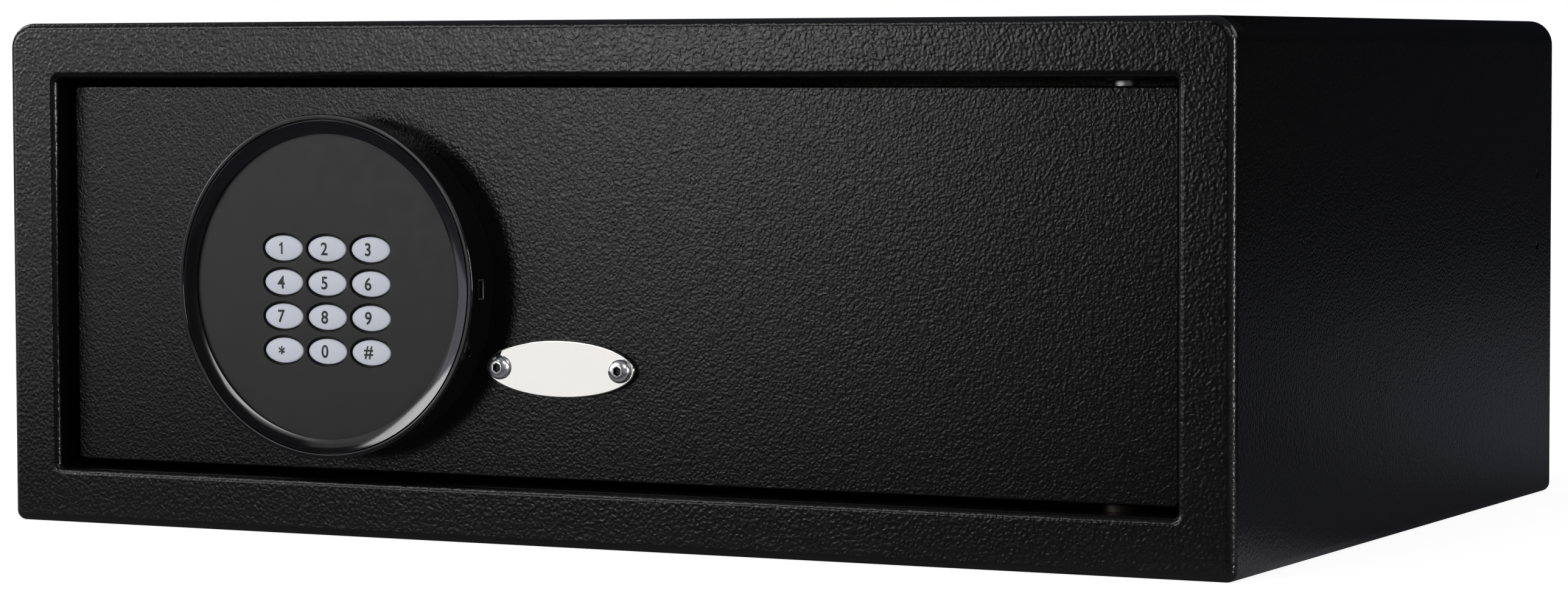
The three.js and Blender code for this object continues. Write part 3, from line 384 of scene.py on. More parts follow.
def ellipse(half_x, half_z, inset=0.0, sides=72):
    """An ellipse in x and z, moved inwards along its normal by an inset."""
    points = []
    for side in range(sides):
        angle = 2 * math.pi * side / sides
        normal = Vector((math.cos(angle) / half_x, math.sin(angle) / half_z)).normalized()
        points.append(
            (half_x * math.cos(angle) - inset * normal.x, half_z * math.sin(angle) - inset * normal.y)
        )
    return points


# Objects made from forms
def linked(name, data):
    obj = bpy.data.objects.new(name, data)
    bpy.context.scene.collection.objects.link(obj)
    return obj


def mesh_object(name, form):
    points, faces = form
    mesh = bpy.data.meshes.new(name)
    mesh.from_pydata([tuple(value * MM for value in point) for point in points], [], faces)
    shape = bmesh.new()
    shape.from_mesh(mesh)
    bmesh.ops.remove_doubles(shape, verts=shape.verts, dist=1e-7)
    bmesh.ops.dissolve_degenerate(shape, edges=shape.edges, dist=1e-8)
    bmesh.ops.recalc_face_normals(shape, faces=shape.faces)
    shape.to_mesh(mesh)
    shape.free()
    return linked(name, mesh)


def settle(obj):
    """Applies the object's modifiers."""
    graph = bpy.context.evaluated_depsgraph_get()
    mesh = bpy.data.meshes.new_from_object(obj.evaluated_get(graph))
    obj.modifiers.clear()
    obj.data = mesh


def boolean(obj, form, operation="DIFFERENCE"):
    tool = mesh_object("tool", form)
    modifier = obj.modifiers.new("shape", "BOOLEAN")
    modifier.operation = operation
    modifier.solver = "EXACT"
    modifier.object = tool
    settle(obj)
    bpy.data.objects.remove(tool)


def dress(obj, body, finish, replaces=(), sharp=32):
    """Shades a piece, paints it, and makes it ride on its body."""
    obj.data.materials.clear()
    obj.data.materials.append(FINISHES[finish])
    obj.data.shade_smooth()
    obj.data.set_sharp_from_angle(angle=math.radians(sharp))
    normals = obj.modifiers.new("normals", "WEIGHTED_NORMAL")
    normals.keep_sharp = True
    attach(obj, body)
    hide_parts(*replaces)
    return obj


def repaint(obj, finish, chosen):
    """Gives a second finish to the faces chosen by their middle, in millimetres, and their normal."""
    obj.data.materials.append(FINISHES[finish])
    for face in obj.data.polygons:
        if chosen(face.center / MM, face.normal):
            face.material_index = len(obj.data.materials) - 1


# Body
front = cad_box("front_frame")[0].y
jamb_end = cad_box("front_frame")[1].y
wrap_high = cad_box("body_wrap")[1]
HALF_WIDTH = wrap_high.x
HEIGHT = wrap_high.z
BACK = wrap_high.y
RIM_DEPTH = 12.0
SHEET = 2.0
TOP_RADIUS = 10.0
BOTTOM_RADIUS = 4.0
OUTER_BEND = 3.4
INNER_BEND = 2.8
BORDER = 22.0
OPENING_RADIUS = 2.0
EDGE_CUT = 0.3
BUSH_HOLE = 6.2
WELD_HEIGHTS = (105.5, 136.0)
WELD_RADIUS = 2.2
WELD_SINK = 0.4
ANCHOR_X = 130
ANCHOR_HOLE = 5
BACK_ANCHOR_HEIGHT = 100
MAT_HOLE = 9.5


def body_outline(inset):
    """The body's outline moved inwards. From half the border on, its corners follow the opening."""
    half = HALF_WIDTH - inset
    if inset < BORDER / 2:
        top, bottom = max(TOP_RADIUS - inset, 1), max(BOTTOM_RADIUS - inset, 1)
    else:
        top = bottom = OPENING_RADIUS + BORDER - inset
    return rounded_rect(-half, half, inset, HEIGHT - inset, top, bottom, 10)


def body_rows(profile, start=0):
    """Outlines of the body for a profile of insets and depths, the depths counted from a start."""
    return [at_depth(body_outline(inset), start + depth) for inset, depth in profile]


def anchor_holes(radius, reach, z):
    """Upright rods through the two places of the base's anchor holes."""
    hole = turned(rod(radius, -reach, reach), ALONG_Z)
    return [shifted(hole, side * ANCHOR_X, 0, z) for side in (-1, 1)]


def make_front_frame():
    profile = [(0, RIM_DEPTH)]
    profile += arc(OUTER_BEND, OUTER_BEND, OUTER_BEND, 180, 270, 8)
    profile += arc(BORDER - INNER_BEND, INNER_BEND, INNER_BEND, 270, 360, 8)
    end = jamb_end - front
    profile += [(BORDER, end - EDGE_CUT), (BORDER - EDGE_CUT, end)]
    profile += [(BORDER - SHEET + EDGE_CUT, end), (BORDER - SHEET, end - EDGE_CUT)]
    profile += arc(BORDER - INNER_BEND, INNER_BEND, INNER_BEND - SHEET, 360, 270, 4)
    profile += arc(OUTER_BEND, OUTER_BEND, OUTER_BEND - SHEET, 270, 180, 4)
    profile += [(SHEET, RIM_DEPTH)]
    obj = mesh_object("front_frame_piece", loft(body_rows(profile, front)))
    holes = []
    for name in ("upper_hinge_bush", "lower_hinge_bush"):
        low, high = cad_box(name)
        middle = (low + high) / 2
        hole = turned(rod(BUSH_HOLE, -12, 12), ALONG_Z)
        holes.append(shifted(hole, middle.x, middle.y, middle.z))
    boolean(obj, joined(*holes))
    dress(obj, "body", "frame_paint", ["front_frame"])
    repaint(obj, "side_paint", lambda at, normal: at.y > front + OUTER_BEND and at.x > HALF_WIDTH - 1)


def make_body_wrap():
    start = front + RIM_DEPTH + 0.02
    edge = arc(0.4, BACK - 0.4, 0.4, 180, 90, 3) + arc(SHEET - 0.4, BACK - 0.4, 0.4, 90, 0, 3)
    profile = [(0, start), *edge, (SHEET, start)]
    obj = mesh_object("body_wrap_piece", loft(body_rows(profile)))
    ball = (WELD_RADIUS**2 + WELD_SINK**2) / (2 * WELD_SINK)
    weld = lathe([(ball * math.sin(math.pi * step / 48), ball * math.cos(math.pi * step / 48))
                  for step in range(49)], 48)
    x = HALF_WIDTH + ball - WELD_SINK
    welds = [shifted(weld, side * x, BACK - 20, z) for side in (-1, 1) for z in WELD_HEIGHTS]
    boolean(obj, joined(*welds, *anchor_holes(ANCHOR_HOLE, 4, 1)))
    dress(obj, "body", "side_paint", ["body_wrap"])
    repaint(obj, "inside_paint", lambda at, normal: normal.x * at.x + normal.z * (at.z - HEIGHT / 2) < -1)


def make_back_plate():
    low, high = cad_box("back_plate")
    inset = HALF_WIDTH - high.x
    bend = 3.0
    profile = [(inset + bend, high.y - SHEET)]
    profile += arc(inset + bend, high.y - bend, bend - SHEET, 90, 180, 4)
    profile += [(inset + SHEET, low.y), (inset, low.y)]
    profile += arc(inset + bend, high.y - bend, bend, 180, 90, 8)
    obj = mesh_object("back_plate_piece", loft(body_rows(profile), ring=False))
    hole = rod(ANCHOR_HOLE, -5, 5)
    holes = [shifted(hole, side * ANCHOR_X, high.y, BACK_ANCHOR_HEIGHT) for side in (-1, 1)]
    boolean(obj, joined(*holes))
    dress(obj, "body", "side_paint", ["back_plate"])
    repaint(obj, "inside_paint", lambda at, normal: normal.y < -0.5)


def make_floor_mat():
    low, high = cad_box("floor_mat")
    pitch, rib_top, groove_floor, groove = 4.0, 2.0, 0.8, 0.5
    slope = (pitch - rib_top - groove_floor) / 2
    count = int((high.x - low.x - 6) / pitch)
    first = -count * pitch / 2
    section = [(low.x, low.z), (high.x, low.z), (high.x, high.z - 1), (high.x - 1, high.z)]
    for rib in range(count, 0, -1):
        x = first + rib * pitch
        section += [(x, high.z), (x - slope, high.z - groove)]
        section += [(x - slope - groove_floor, high.z - groove), (x - pitch + rib_top, high.z)]
    section += [(low.x + 1, high.z), (low.x, high.z - 1)]
    rows = [at_depth(section, y) for y in (low.y, high.y)]
    obj = mesh_object("floor_mat_piece", loft(rows, ring=False))
    boolean(obj, joined(*anchor_holes(MAT_HOLE, 6, 3)))
    dress(obj, "body", "rubber", ["floor_mat"], sharp=20)


def make_base_plugs():
    shank, head, head_height, edge = 4.75, 7.5, 1.6, 0.8
    for side, name in ((-1, "left"), (1, "right")):
        low, high = cad_box(f"base_plug_{name}")
        seat = high.z - head_height
        profile = [(0, low.z), (shank - 0.4, low.z), (shank, low.z + 0.4), (shank, seat), (head, seat)]
        profile += arc(head - edge, high.z - edge, edge, 0, 90, 5)
        profile += arc(3.0, high.z, 0.5, 0, -180, 4) + [(0, high.z)]
        plug = turned(lathe(profile, 64), ALONG_Z)
        obj = mesh_object(f"base_plug_{name}_piece", shifted(plug, side * ANCHOR_X, 0, 0))
        dress(obj, "body", "black_plastic", [f"base_plug_{name}"])


def make_hinge_bushes():
    bore, barrel, flange_radius, edge = 4.1, 6.1, 8.6, 0.2
    for name, upside in (("upper", 1), ("lower", -1)):
        node = f"{name}_hinge_bush"
        low, high = cad_box(node)
        middle = (low + high) / 2
        length = high.z - low.z
        flange = 1.0 if upside > 0 else 2.8
        profile = arc(bore + edge, edge, edge, 180, 270, 3)
        profile += arc(flange_radius - edge, edge, edge, 270, 360, 3)
        profile += [(flange_radius, flange), (barrel, flange), (barrel, length), (bore, length)]
        bush = turned(lathe([(r, upside * y) for r, y in profile], 64), ALONG_Z)
        start = low.z if upside > 0 else high.z
        obj = mesh_object(f"{node}_piece", shifted(bush, middle.x, middle.y, start))
        # The bushes take the nearly black finish: painted shade in the door gaps.
        dress(obj, "body", "bush_brass", [node])


# Door
door_low, door_high = cad_box("door_panel")
plate_low, plate_high = cad_box("cover_plate")
plate_x, plate_z = middle_of("cover_plate")
DOOR_CORNER = 2.0
PLATE_SCREW_X = 26.2
PLATE_SCREW_HOLE = 2.7
LOCK_HOLE = 9.8
CABLE_HOLE = 6
SCREW_HOLE = 2.2


def plate_screw_holes(y0, y1):
    hole = rod(PLATE_SCREW_HOLE, y0, y1)
    return [shifted(hole, plate_x + side * PLATE_SCREW_X, 0, plate_z) for side in (-1, 1)]


def hole_at(node, radius, y0, y1):
    x, z = middle_of(node)
    return shifted(rod(radius, y0, y1), x, 0, z)


def make_door_panel():
    edge = 0.8
    profile = arc(edge, door_low.y + edge, edge, 270, 180, 5)
    profile += arc(edge, door_high.y - edge, edge, 180, 90, 5)
    rows = []
    for inset, y in profile:
        outline = rounded_rect(
            door_low.x + inset, door_high.x - inset, door_low.z + inset, door_high.z - inset,
            DOOR_CORNER - inset, DOOR_CORNER - inset,
        )
        rows.append(at_depth(outline, y))
    obj = mesh_object("door_panel_piece", loft(rows, ring=False))
    through = (door_low.y - 1, door_high.y + 1)
    blind = (door_high.y - 4.2, door_high.y + 1)
    holes = [hole_at("cover_plate", LOCK_HOLE, *through), *plate_screw_holes(*through)]
    holes.append(hole_at("keypad_cable", CABLE_HOLE, *through))
    holes += [hole_at(f"housing_screw_{index}", SCREW_HOLE, *through) for index in (1, 2)]
    holes += [hole_at(f"cover_screw_{index}", SCREW_HOLE, *blind) for index in range(1, 5)]
    boolean(obj, joined(*holes))
    dress(obj, "door", "door_paint", ["door_panel"])
    repaint(obj, "inside_paint", lambda at, normal: at.y > door_high.y - 1)


def make_hinge_pins():
    radius, foot, top = 4, -11.9, 13.0
    for name, upside in (("upper", 1), ("lower", -1)):
        node = f"{name}_hinge_pin"
        low, high = cad_box(node)
        middle = (low + high) / 2
        edge = door_high.z if upside > 0 else door_low.z
        profile = [(0, foot), (radius, foot)]
        if upside > 0:
            profile += [(radius, 0)] + arc(radius + 0.35, 0.15, 0.15, 270, 360, 2)
            profile += arc(radius + 0.3, 1.3, 0.2, 0, 90, 3) + [(radius, 1.5)]
        profile += [(radius, top - 1)] + arc(radius - 1, top - 1, 1.0, 0, 90, 4) + [(0, top)]
        pin = turned(lathe([(r, upside * y) for r, y in profile], 64), ALONG_Z)
        obj = mesh_object(f"{node}_piece", shifted(pin, middle.x, middle.y, edge))
        # The lower pin is painted gloss black instead of steel: painted shade for the dark lower gap.
        dress(obj, "door", "pin_steel" if upside > 0 else "gloss_black", [node])


def button_screw(node, length, head_radius, head, shank_radius, inwards):
    """A button-head screw with a hexagon socket. inwards is +1 where the head faces the front."""
    low, high = cad_box(node)
    x, z = middle_of(node)
    seat = low.y + head if inwards > 0 else high.y - head
    dome = []
    for step in range(9):
        rise = 1 - step / 8
        radius = head_radius * math.sqrt(1 - (0.83 * rise) ** 2)
        dome.append((radius, -head * (0.12 + 0.88 * rise)))
    profile = [(0, length), (0, -head), *dome, (head_radius, -0.1), (head_radius - 0.1, 0)]
    profile += [(shank_radius, 0), (shank_radius, length)]
    profile = [(radius, y * inwards) for radius, y in profile]
    obj = mesh_object(f"{node}_piece", shifted(lathe(profile, 64), x, seat, z))
    across, mouth, socket_depth = 3.0, 0.3, 1.5
    widest = across + 2 * (mouth + 1)
    rows = []
    for width, y in ((widest, -head - 1), (across, -head + mouth), (across, -head + socket_depth)):
        reach = width / math.sqrt(3)
        angles = (math.radians(60 * k + 30) for k in range(6))
        corners = [(reach * math.cos(angle), reach * math.sin(angle)) for angle in angles]
        rows.append(at_depth(corners, y * inwards))
    boolean(obj, shifted(loft(rows, ring=False), x, seat, z))
    return obj


def make_screws():
    lengths = {f"cover_screw_{index}": 5.5 for index in range(1, 5)}
    lengths |= {f"housing_screw_{index}": 9.0 for index in (1, 2)}
    for node, length in lengths.items():
        obj = button_screw(node, length, head_radius=3.8, head=2.2, shank_radius=2.0, inwards=-1)
        dress(obj, "door", "zinc", [node])
    for node in ("plate_screw_left", "plate_screw_right"):
        obj = button_screw(node, 6.4, head_radius=4.65, head=2.7, shank_radius=2.5, inwards=1)
        dress(obj, "door", "chrome", [node])
        x, z = middle_of(node)
        socket = cad_box(node)[0].y + 0.5
        # The socket's inside is painted near-black metal: painted shade in the recess.
        repaint(obj, "socket_painted_shade",
                lambda at, normal: at.y > socket and math.hypot(at.x - x, at.z - z) < 1.75)


def make_cover_plate():
    """The oval plate over the emergency lock."""
    half_x = (plate_high.x - plate_low.x) / 2
    half_z = (plate_high.z - plate_low.z) / 2
    edge = 0.45
    profile = arc(edge, plate_low.y + edge, edge, 270, 180, 5)
    profile += [(0, plate_high.y - 0.2), (0.2, plate_high.y)]
    rows = [at_depth(ellipse(half_x, half_z, inset, 160), y) for inset, y in profile]
    form = loft(rows, ring=False)
    obj = mesh_object("cover_plate_piece", shifted(form, plate_x, 0, plate_z))
    boolean(obj, joined(*plate_screw_holes(plate_low.y - 1, plate_high.y + 1)))
    dress(obj, "door", "mirror", ["cover_plate"])


# Round keypad lock. Depths are measured back from the dial's rim.
dial_low, dial_high = cad_box("lock_housing")
dial_x, dial_z = middle_of("lock_housing")
rim = dial_low.y
DIAL_RADIUS = (dial_high.x - dial_low.x) / 2
LIP_INNER = DIAL_RADIUS - 2.0
HOUSING_RADIUS = DIAL_RADIUS - 1.0
FACE_RADIUS = LIP_INNER - 2.5
SOCKET_FLOOR = HOUSING_RADIUS - 4.5
PORT_DEPTH = 9.0
JACK_DEPTH = 7.4
JACK_HOLE = 2.95
RING_WIDTH = 5.2
RING_SLOPES = (18, 8)
JACK_TURN = Matrix.Rotation(math.radians(22), 3, "Y")


def on_dial(form):
    return shifted(form, dial_x, rim, dial_z)


def make_lock_housing():
    base = dial_high.y - rim
    inside = HOUSING_RADIUS - 3.2
    ledge_radius, ledge_back = 55.2, 12.75
    board_radius, board_seat = 60.3, 10.75
    face_radius, face_seat = FACE_RADIUS + 0.1, 4.3
    ring_seat = 2.5
    inner_edge, outer_edge = 0.5, 0.7
    profile = arc(LIP_INNER + inner_edge, inner_edge, inner_edge, 180, 270, 5)
    profile += arc(DIAL_RADIUS - outer_edge, outer_edge, outer_edge, 270, 360, 7)
    profile += arc(DIAL_RADIUS - 0.3, 2.3, 0.3, 0, 90, 3)
    profile += arc(HOUSING_RADIUS + 0.3, 2.9, 0.3, 270, 180, 3)
    profile += arc(HOUSING_RADIUS - 0.3, base - 0.3, 0.3, 0, 90, 3)
    profile += [(inside, base), (inside, ledge_back), (ledge_radius, ledge_back)]
    profile += [(ledge_radius, board_seat), (board_radius, board_seat), (board_radius, face_seat)]
    profile += [(face_radius, face_seat), (face_radius, ring_seat), (LIP_INNER, ring_seat)]
    obj = mesh_object("lock_housing_piece", on_dial(lathe(profile, 192)))
    port_outline = rounded_rect(-4.15, 4.15, -2.35, 2.35, 0.5, 0.5, 4)
    reach = (SOCKET_FLOOR - 0.1, DIAL_RADIUS + 1)
    port = loft([[(x, y + PORT_DEPTH, z) for z, y in port_outline] for x in reach], ring=False)
    jack = turned(rod(JACK_HOLE, *reach), ALONG_X)
    jack = turned(shifted(jack, 0, JACK_DEPTH, 0), JACK_TURN)
    boolean(obj, on_dial(joined(port, jack)))
    dress(obj, "door", "gloss_black", ["lock_housing"])


def make_trim_ring():
    low, high = cad_box("trim_ring")
    outer = (high.x - low.x) / 2
    inner = outer - RING_WIDTH
    top, bottom = low.y - rim, high.y - rim
    edge = 0.2
    profile = [(inner, bottom), (outer, bottom)] + arc(outer - edge, top + edge, edge, 360, 270, 3)
    width = outer - edge - inner
    steep, shallow = (math.tan(math.radians(slope)) for slope in RING_SLOPES)
    for step in range(1, 13):
        along = step / 12
        fall = width * (steep * along - (steep - shallow) * along**2 / 2)
        profile.append((outer - edge - along * width, top + fall))
    obj = mesh_object("trim_ring_piece", on_dial(lathe(profile, 192)))
    dress(obj, "door", "gloss_black", ["trim_ring"])


KEYS = ["1", "2", "3", "4", "5", "6", "7", "8", "9", "clear", "0", "lock"]
KEY_MARKS = {"clear": "*", "lock": "#"}
KEY_HALF_X = 8.75
KEY_HALF_Z = 4.95
KEY_GAP_X = 0.55
KEY_GAP_Z = 0.9
MARK_SHIFT = 1.1
FIGURE_ONE = [
    (0.44, -2.3), (0.44, 2.3), (-0.1, 2.3), (-0.5, 1.85), (-1.2, 1.45), (-1.2, 0.72), (-0.7, 0.92),
    (-0.34, 1.15), (-0.34, -2.3),
]


def flat_curve(name, outlines, bevel):
    """A 2-D curve filled between its outlines, with bevelled edges, lying in x and y."""
    curve = bpy.data.curves.new(name, "CURVE")
    curve.dimensions = "2D"
    curve.fill_mode = "BOTH"
    curve.bevel_depth = bevel * MM
    curve.bevel_resolution = 2
    curve.offset = -bevel * MM
    for outline in outlines:
        spline = curve.splines.new("POLY")
        spline.points.add(len(outline) - 1)
        for point, (x, z) in zip(spline.points, outline):
            point.co = (x * MM, z * MM, 0, 1)
        spline.use_cyclic_u = True
    return curve


def curve_mesh(name, curve, form_matrix):
    """The curve's mesh, stood up and put in place, as an object of its own."""
    source = linked(name, curve)
    graph = bpy.context.evaluated_depsgraph_get()
    mesh = bpy.data.meshes.new_from_object(source.evaluated_get(graph))
    bpy.data.objects.remove(source)
    mesh.transform(form_matrix)
    shape = bmesh.new()
    shape.from_mesh(mesh)
    bmesh.ops.remove_doubles(shape, verts=shape.verts, dist=1e-6)
    bmesh.ops.recalc_face_normals(shape, faces=shape.faces)
    shape.to_mesh(mesh)
    shape.free()
    return linked(name, mesh)


def standing(x, y, z):
    """Stands a flat form up to face the front, its middle at a place in millimetres."""
    return Matrix.Translation((x * MM, y * MM, z * MM)) @ Matrix.Rotation(math.pi / 2, 4, "X")


def make_face_plate():
    low, high = cad_box("face_plate")
    thickness = high.y - low.y
    angles = [2 * math.pi * side / 192 for side in range(192)]
    outlines = [[(FACE_RADIUS * math.cos(angle), FACE_RADIUS * math.sin(angle)) for angle in angles]]
    for key in KEYS:
        x, z = middle_of(f"key_{key}")
        hole = ellipse(KEY_HALF_X + KEY_GAP_X, KEY_HALF_Z + KEY_GAP_Z, sides=56)
        outlines.append([(x - dial_x + px, z - dial_z + pz) for px, pz in hole])
    bevel = 0.15
    curve = flat_curve("face_plate_piece", outlines, bevel)
    curve.extrude = (thickness / 2 - bevel) * MM
    middle = standing(dial_x, (low.y + high.y) / 2, dial_z)
    obj = curve_mesh("face_plate_piece", curve, middle)
    dress(obj, "door", "face_grey", ["face_plate"])


KEY_CROWN = 2.8
KEY_SKIRT = 3.5
MARK_SIZE = 6.9
MARK_WEIGHT = 0.13
MARK_WIDTH_SCALE = 0.96


def crown(share):
    """Depth of a key's face at a share of the way from its middle to its edge."""
    return KEY_CROWN + 0.36 * share * share


def make_keys():
    for key in KEYS:
        node = f"key_{key}"
        x, z = middle_of(node)
        back = cad_box(node)[1].y - rim
        flange = back - 0.8
        rows = []
        for share in (0.15, 0.35, 0.55, 0.75, 0.88, 0.94):
            rows.append((ellipse(KEY_HALF_X * share, KEY_HALF_Z * share), crown(share)))
        for inset, y in arc(0.45, crown(0.94) + 0.5, 0.45, 255, 180, 5):
            rows.append((ellipse(KEY_HALF_X, KEY_HALF_Z, inset), y))
        foot = ellipse(KEY_HALF_X + 0.95, KEY_HALF_Z + 1.1)
        rows += [(ellipse(KEY_HALF_X, KEY_HALF_Z), flange), (foot, flange), (foot, back)]
        form = loft([at_depth(outline, y) for outline, y in rows], ring=False)
        obj = mesh_object(f"{node}_piece", shifted(form, x, rim, z))
        dress(obj, f"{node}_body", "key_grey", [node])
        repaint(obj, "rubber", lambda at, normal: at.y > rim + KEY_SKIRT)
        add_mark(key, x, z)


def sliced(mesh, step):
    """Cuts a flat mesh along a grid, so that it can follow a crowned face."""
    shape = bmesh.new()
    shape.from_mesh(mesh)
    for axis in (Vector((1, 0, 0)), Vector((0, 1, 0))):
        reach = max(abs(vertex.co.dot(axis)) for vertex in shape.verts)
        for index in range(-int(reach / step), int(reach / step) + 1):
            geometry = shape.verts[:] + shape.edges[:] + shape.faces[:]
            bmesh.ops.bisect_plane(shape, geom=geometry, plane_co=axis * step * index, plane_no=axis)
    shape.to_mesh(mesh)
    shape.free()


def add_mark(key, x, z):
    """Prints a key's mark on its crowned face."""
    if key == "1":
        curve = flat_curve(f"mark_{key}", [FIGURE_ONE], 0)
    else:
        curve = bpy.data.curves.new(f"mark_{key}", "FONT")
        curve.body = KEY_MARKS.get(key, key)
        curve.size = MARK_SIZE * MM
        curve.offset = MARK_WEIGHT * MM
        curve.resolution_u = 6
    curve.extrude = 0.02 * MM
    obj = curve_mesh(f"mark_{key}", curve, Matrix.Scale(MARK_WIDTH_SCALE, 4, (1, 0, 0)))
    sliced(obj.data, 0.5 * MM)
    corners = obj.data.vertices
    middle_x = (min(v.co.x for v in corners) + max(v.co.x for v in corners)) / 2
    middle_y = (min(v.co.y for v in corners) + max(v.co.y for v in corners)) / 2
    for vertex in corners:
        px, pz = (vertex.co.x - middle_x) / MM - MARK_SHIFT, (vertex.co.y - middle_y) / MM
        share = math.hypot(px / KEY_HALF_X, pz / KEY_HALF_Z)
        depth = rim + crown(share) - vertex.co.z / MM - 0.015
        vertex.co = ((x + px) * MM, depth * MM, (z + pz) * MM)
    obj.data.update()
    dress(obj, f"key_{key}_body", "ink")


def make_usb_port():
    face = HOUSING_RADIUS - 0.3
    inner = SOCKET_FLOOR
    outlines = [(4.0, 2.2, 0.45, inner), (4.0, 2.2, 0.45, face - 0.1), (3.9, 2.1, 0.4, face)]
    outlines += [(3.4, 1.6, 0.3, face), (3.3, 1.5, 0.25, face - 0.1), (3.3, 1.5, 0.25, inner + 0.7)]
    rows = []
    for half_z, half_y, radius, x in outlines:
        outline = rounded_rect(-half_z, half_z, -half_y, half_y, radius, radius, 3)
        rows.append([(x, PORT_DEPTH + y, z) for z, y in outline])
    shell = loft(rows, ring=False)
    tongue_rows = []
    for x, cut in ((inner + 0.5, 0.0), (face - 1.0, 0.0), (face - 0.8, 0.15)):
        outline = rounded_rect(-2.4 + cut, 2.4 - cut, -0.4 + cut / 2, 0.4 - cut / 2, 0.15, 0.15, 2)
        tongue_rows.append([(x, PORT_DEPTH + y, z) for z, y in outline])
    tongue = loft(tongue_rows, ring=False)
    obj = mesh_object("usb_port_piece", on_dial(joined(shell, tongue)))
    dress(obj, "door", "port_steel", ["usb_port"])
    # Past its mouth the port is painted gloss black: the tongue's black is its plastic, the black on the
    # steel shell's inner walls is painted shade.
    mouth = dial_x + face - 0.3
    repaint(obj, "gloss_black", lambda at, normal: at.x < mouth)


def make_power_jack():
    inner = SOCKET_FLOOR
    face = HOUSING_RADIUS - 0.2
    barrel, bore, pin = 2.8, 1.8, 0.6
    profile = [(0, inner), (barrel, inner)] + arc(barrel - 0.3, face - 0.3, 0.3, 0, 90, 3)
    profile += arc(bore + 0.2, face - 0.2, 0.2, 90, 180, 3) + [(bore, inner + 1), (pin, inner + 1)]
    profile += arc(pin - 0.3, face - 1.3, 0.3, 0, 90, 3) + [(0, face - 1)]
    jack = turned(lathe(profile, 48), ALONG_X)
    jack = turned(shifted(jack, 0, JACK_DEPTH, 0), JACK_TURN)
    obj = mesh_object("power_jack_piece", on_dial(jack))
    dress(obj, "door", "gloss_black", ["power_jack"])


def make_battery_lid():
    low, high = cad_box("battery_lid")
    x, z = middle_of("battery_lid")
    half_x, half_z = (high.x - low.x) / 2, (high.z - low.z) / 2
    thickness, flange, wall, corner = 2.0, 3.2, 1.2, 3
    outer = high.y - thickness
    lip_x, lip_z = half_x - flange, half_z - flange
    hollow_x, hollow_z = lip_x - wall, lip_z - wall
    rows = [at_depth(rounded_rect(-hollow_x, hollow_x, -hollow_z, hollow_z, 0.6, 0.6), y)
            for y in (outer + 0.5, low.y)]
    rows += [at_depth(rounded_rect(-lip_x, lip_x, -lip_z, lip_z, 1, 1), y) for y in (low.y, outer)]
    for inset, y in ((0.2, outer), (0, outer + 0.2), *arc(0.6, high.y - 0.6, 0.6, 180, 90, 4)):
        outline = rounded_rect(-half_x + inset, half_x - inset, -half_z + inset, half_z - inset,
                               corner - inset, corner - inset)
        rows.append(at_depth(outline, y))
    obj = mesh_object("battery_lid_piece", shifted(loft(rows, ring=False), x, 0, z))
    groove_x, groove_z, groove_depth, groove_pitch, first_groove = 11, 0.7, 0.6, 2.6, 8
    slot = rounded_rect(-groove_x, groove_x, -groove_z, groove_z, 0.6, 0.6, 4)
    groove = loft([at_depth(slot, y) for y in (high.y - groove_depth, high.y + 1)], ring=False)
    top = z + half_z - first_groove
    grooves = [shifted(groove, x, 0, top - groove_pitch * index) for index in range(7)]
    boolean(obj, joined(*grooves))
    dress(obj, "door", "matt_black", ["battery_lid"])


def make_bolts():
    radius, neck, tail = 8, 4, 8.1
    for name in ("upper", "lower"):
        node = f"{name}_bolt"
        low, high = cad_box(node)
        y, z = (low.y + high.y) / 2, (low.z + high.z) / 2
        shoulder = high.x - tail
        profile = [(0, low.x), (radius - 1.8, low.x)] + arc(radius - 1, low.x + 1.0, 1.0, -60, 0, 5)
        profile += [(radius, shoulder), (neck, shoulder), (neck, high.x - 0.3)]
        profile += [(neck - 0.3, high.x), (0, high.x)]
        bolt = turned(lathe(profile, 96), ALONG_X)
        obj = mesh_object(f"{node}_piece", shifted(bolt, 0, y, z))
        dress(obj, "bolt_work", "bare_steel", [node])


# CAD solids that keep their own shape
KEPT_NODES = {
    "upper_hinge_block": "bare_steel",
    "lower_hinge_block": "bare_steel",
    "inner_cover": "cover_paint",
    "battery_tray": "matt_black",
    "battery_1": "sleeve",
    "battery_2": "sleeve",
    "battery_3": "sleeve",
    "battery_4": "sleeve",
    "bolt_guide": "zinc",
    "gear_motor": "zinc",
    "lock_barrel": "zinc",
    "lock_plug": "brass",
    "lock_cam": "bare_steel",
    "control_board": "board",
    "keypad_cable": "rubber",
    "key_mat": "rubber",
    "keypad_board": "board",
    "bolt_carriage": "zinc",
    "drive_pinion": "brass",
}


def dress_kept_nodes():
    for name, finish in KEPT_NODES.items():
        obj = NODES[name]
        weld = obj.modifiers.new("weld", "WELD")
        weld.merge_threshold = 0.005 * MM
        bevel = obj.modifiers.new("edges", "BEVEL")
        bevel.width, bevel.segments = (0.6 * MM, 3) if name == "inner_cover" else (0.2 * MM, 2)
        bevel.limit_method = "ANGLE"
        bevel.angle_limit = math.radians(40)
        if not obj.data.materials:
            obj.data.materials.append(FINISHES[finish])
        for slot in obj.material_slots:
            slot.material = FINISHES[finish]


# Lights, floor and background
LIT_POINT = Vector((0, -0.18, 0.1))
PANELS_Y = -2200
PANEL_SPACING = 20

# Panels that face the front, in millimetres: x from and to, z from and to, and their radiance
PANELS = {
    "panel": (-1350, -900, -200, 560, 0.95),
    "panel_middle": (-1350, -900, 20, 560, 0.4),
    "panel_top": (-1270, -800, 190, 430, 8.0),
    "wall": (-2700, -1350, -220, 900, 0.4),
    "wall_middle": (-2700, -1350, 20, 900, 0.2),
    "wall_top": (-2700, -1350, 160, 650, 0.25),
}


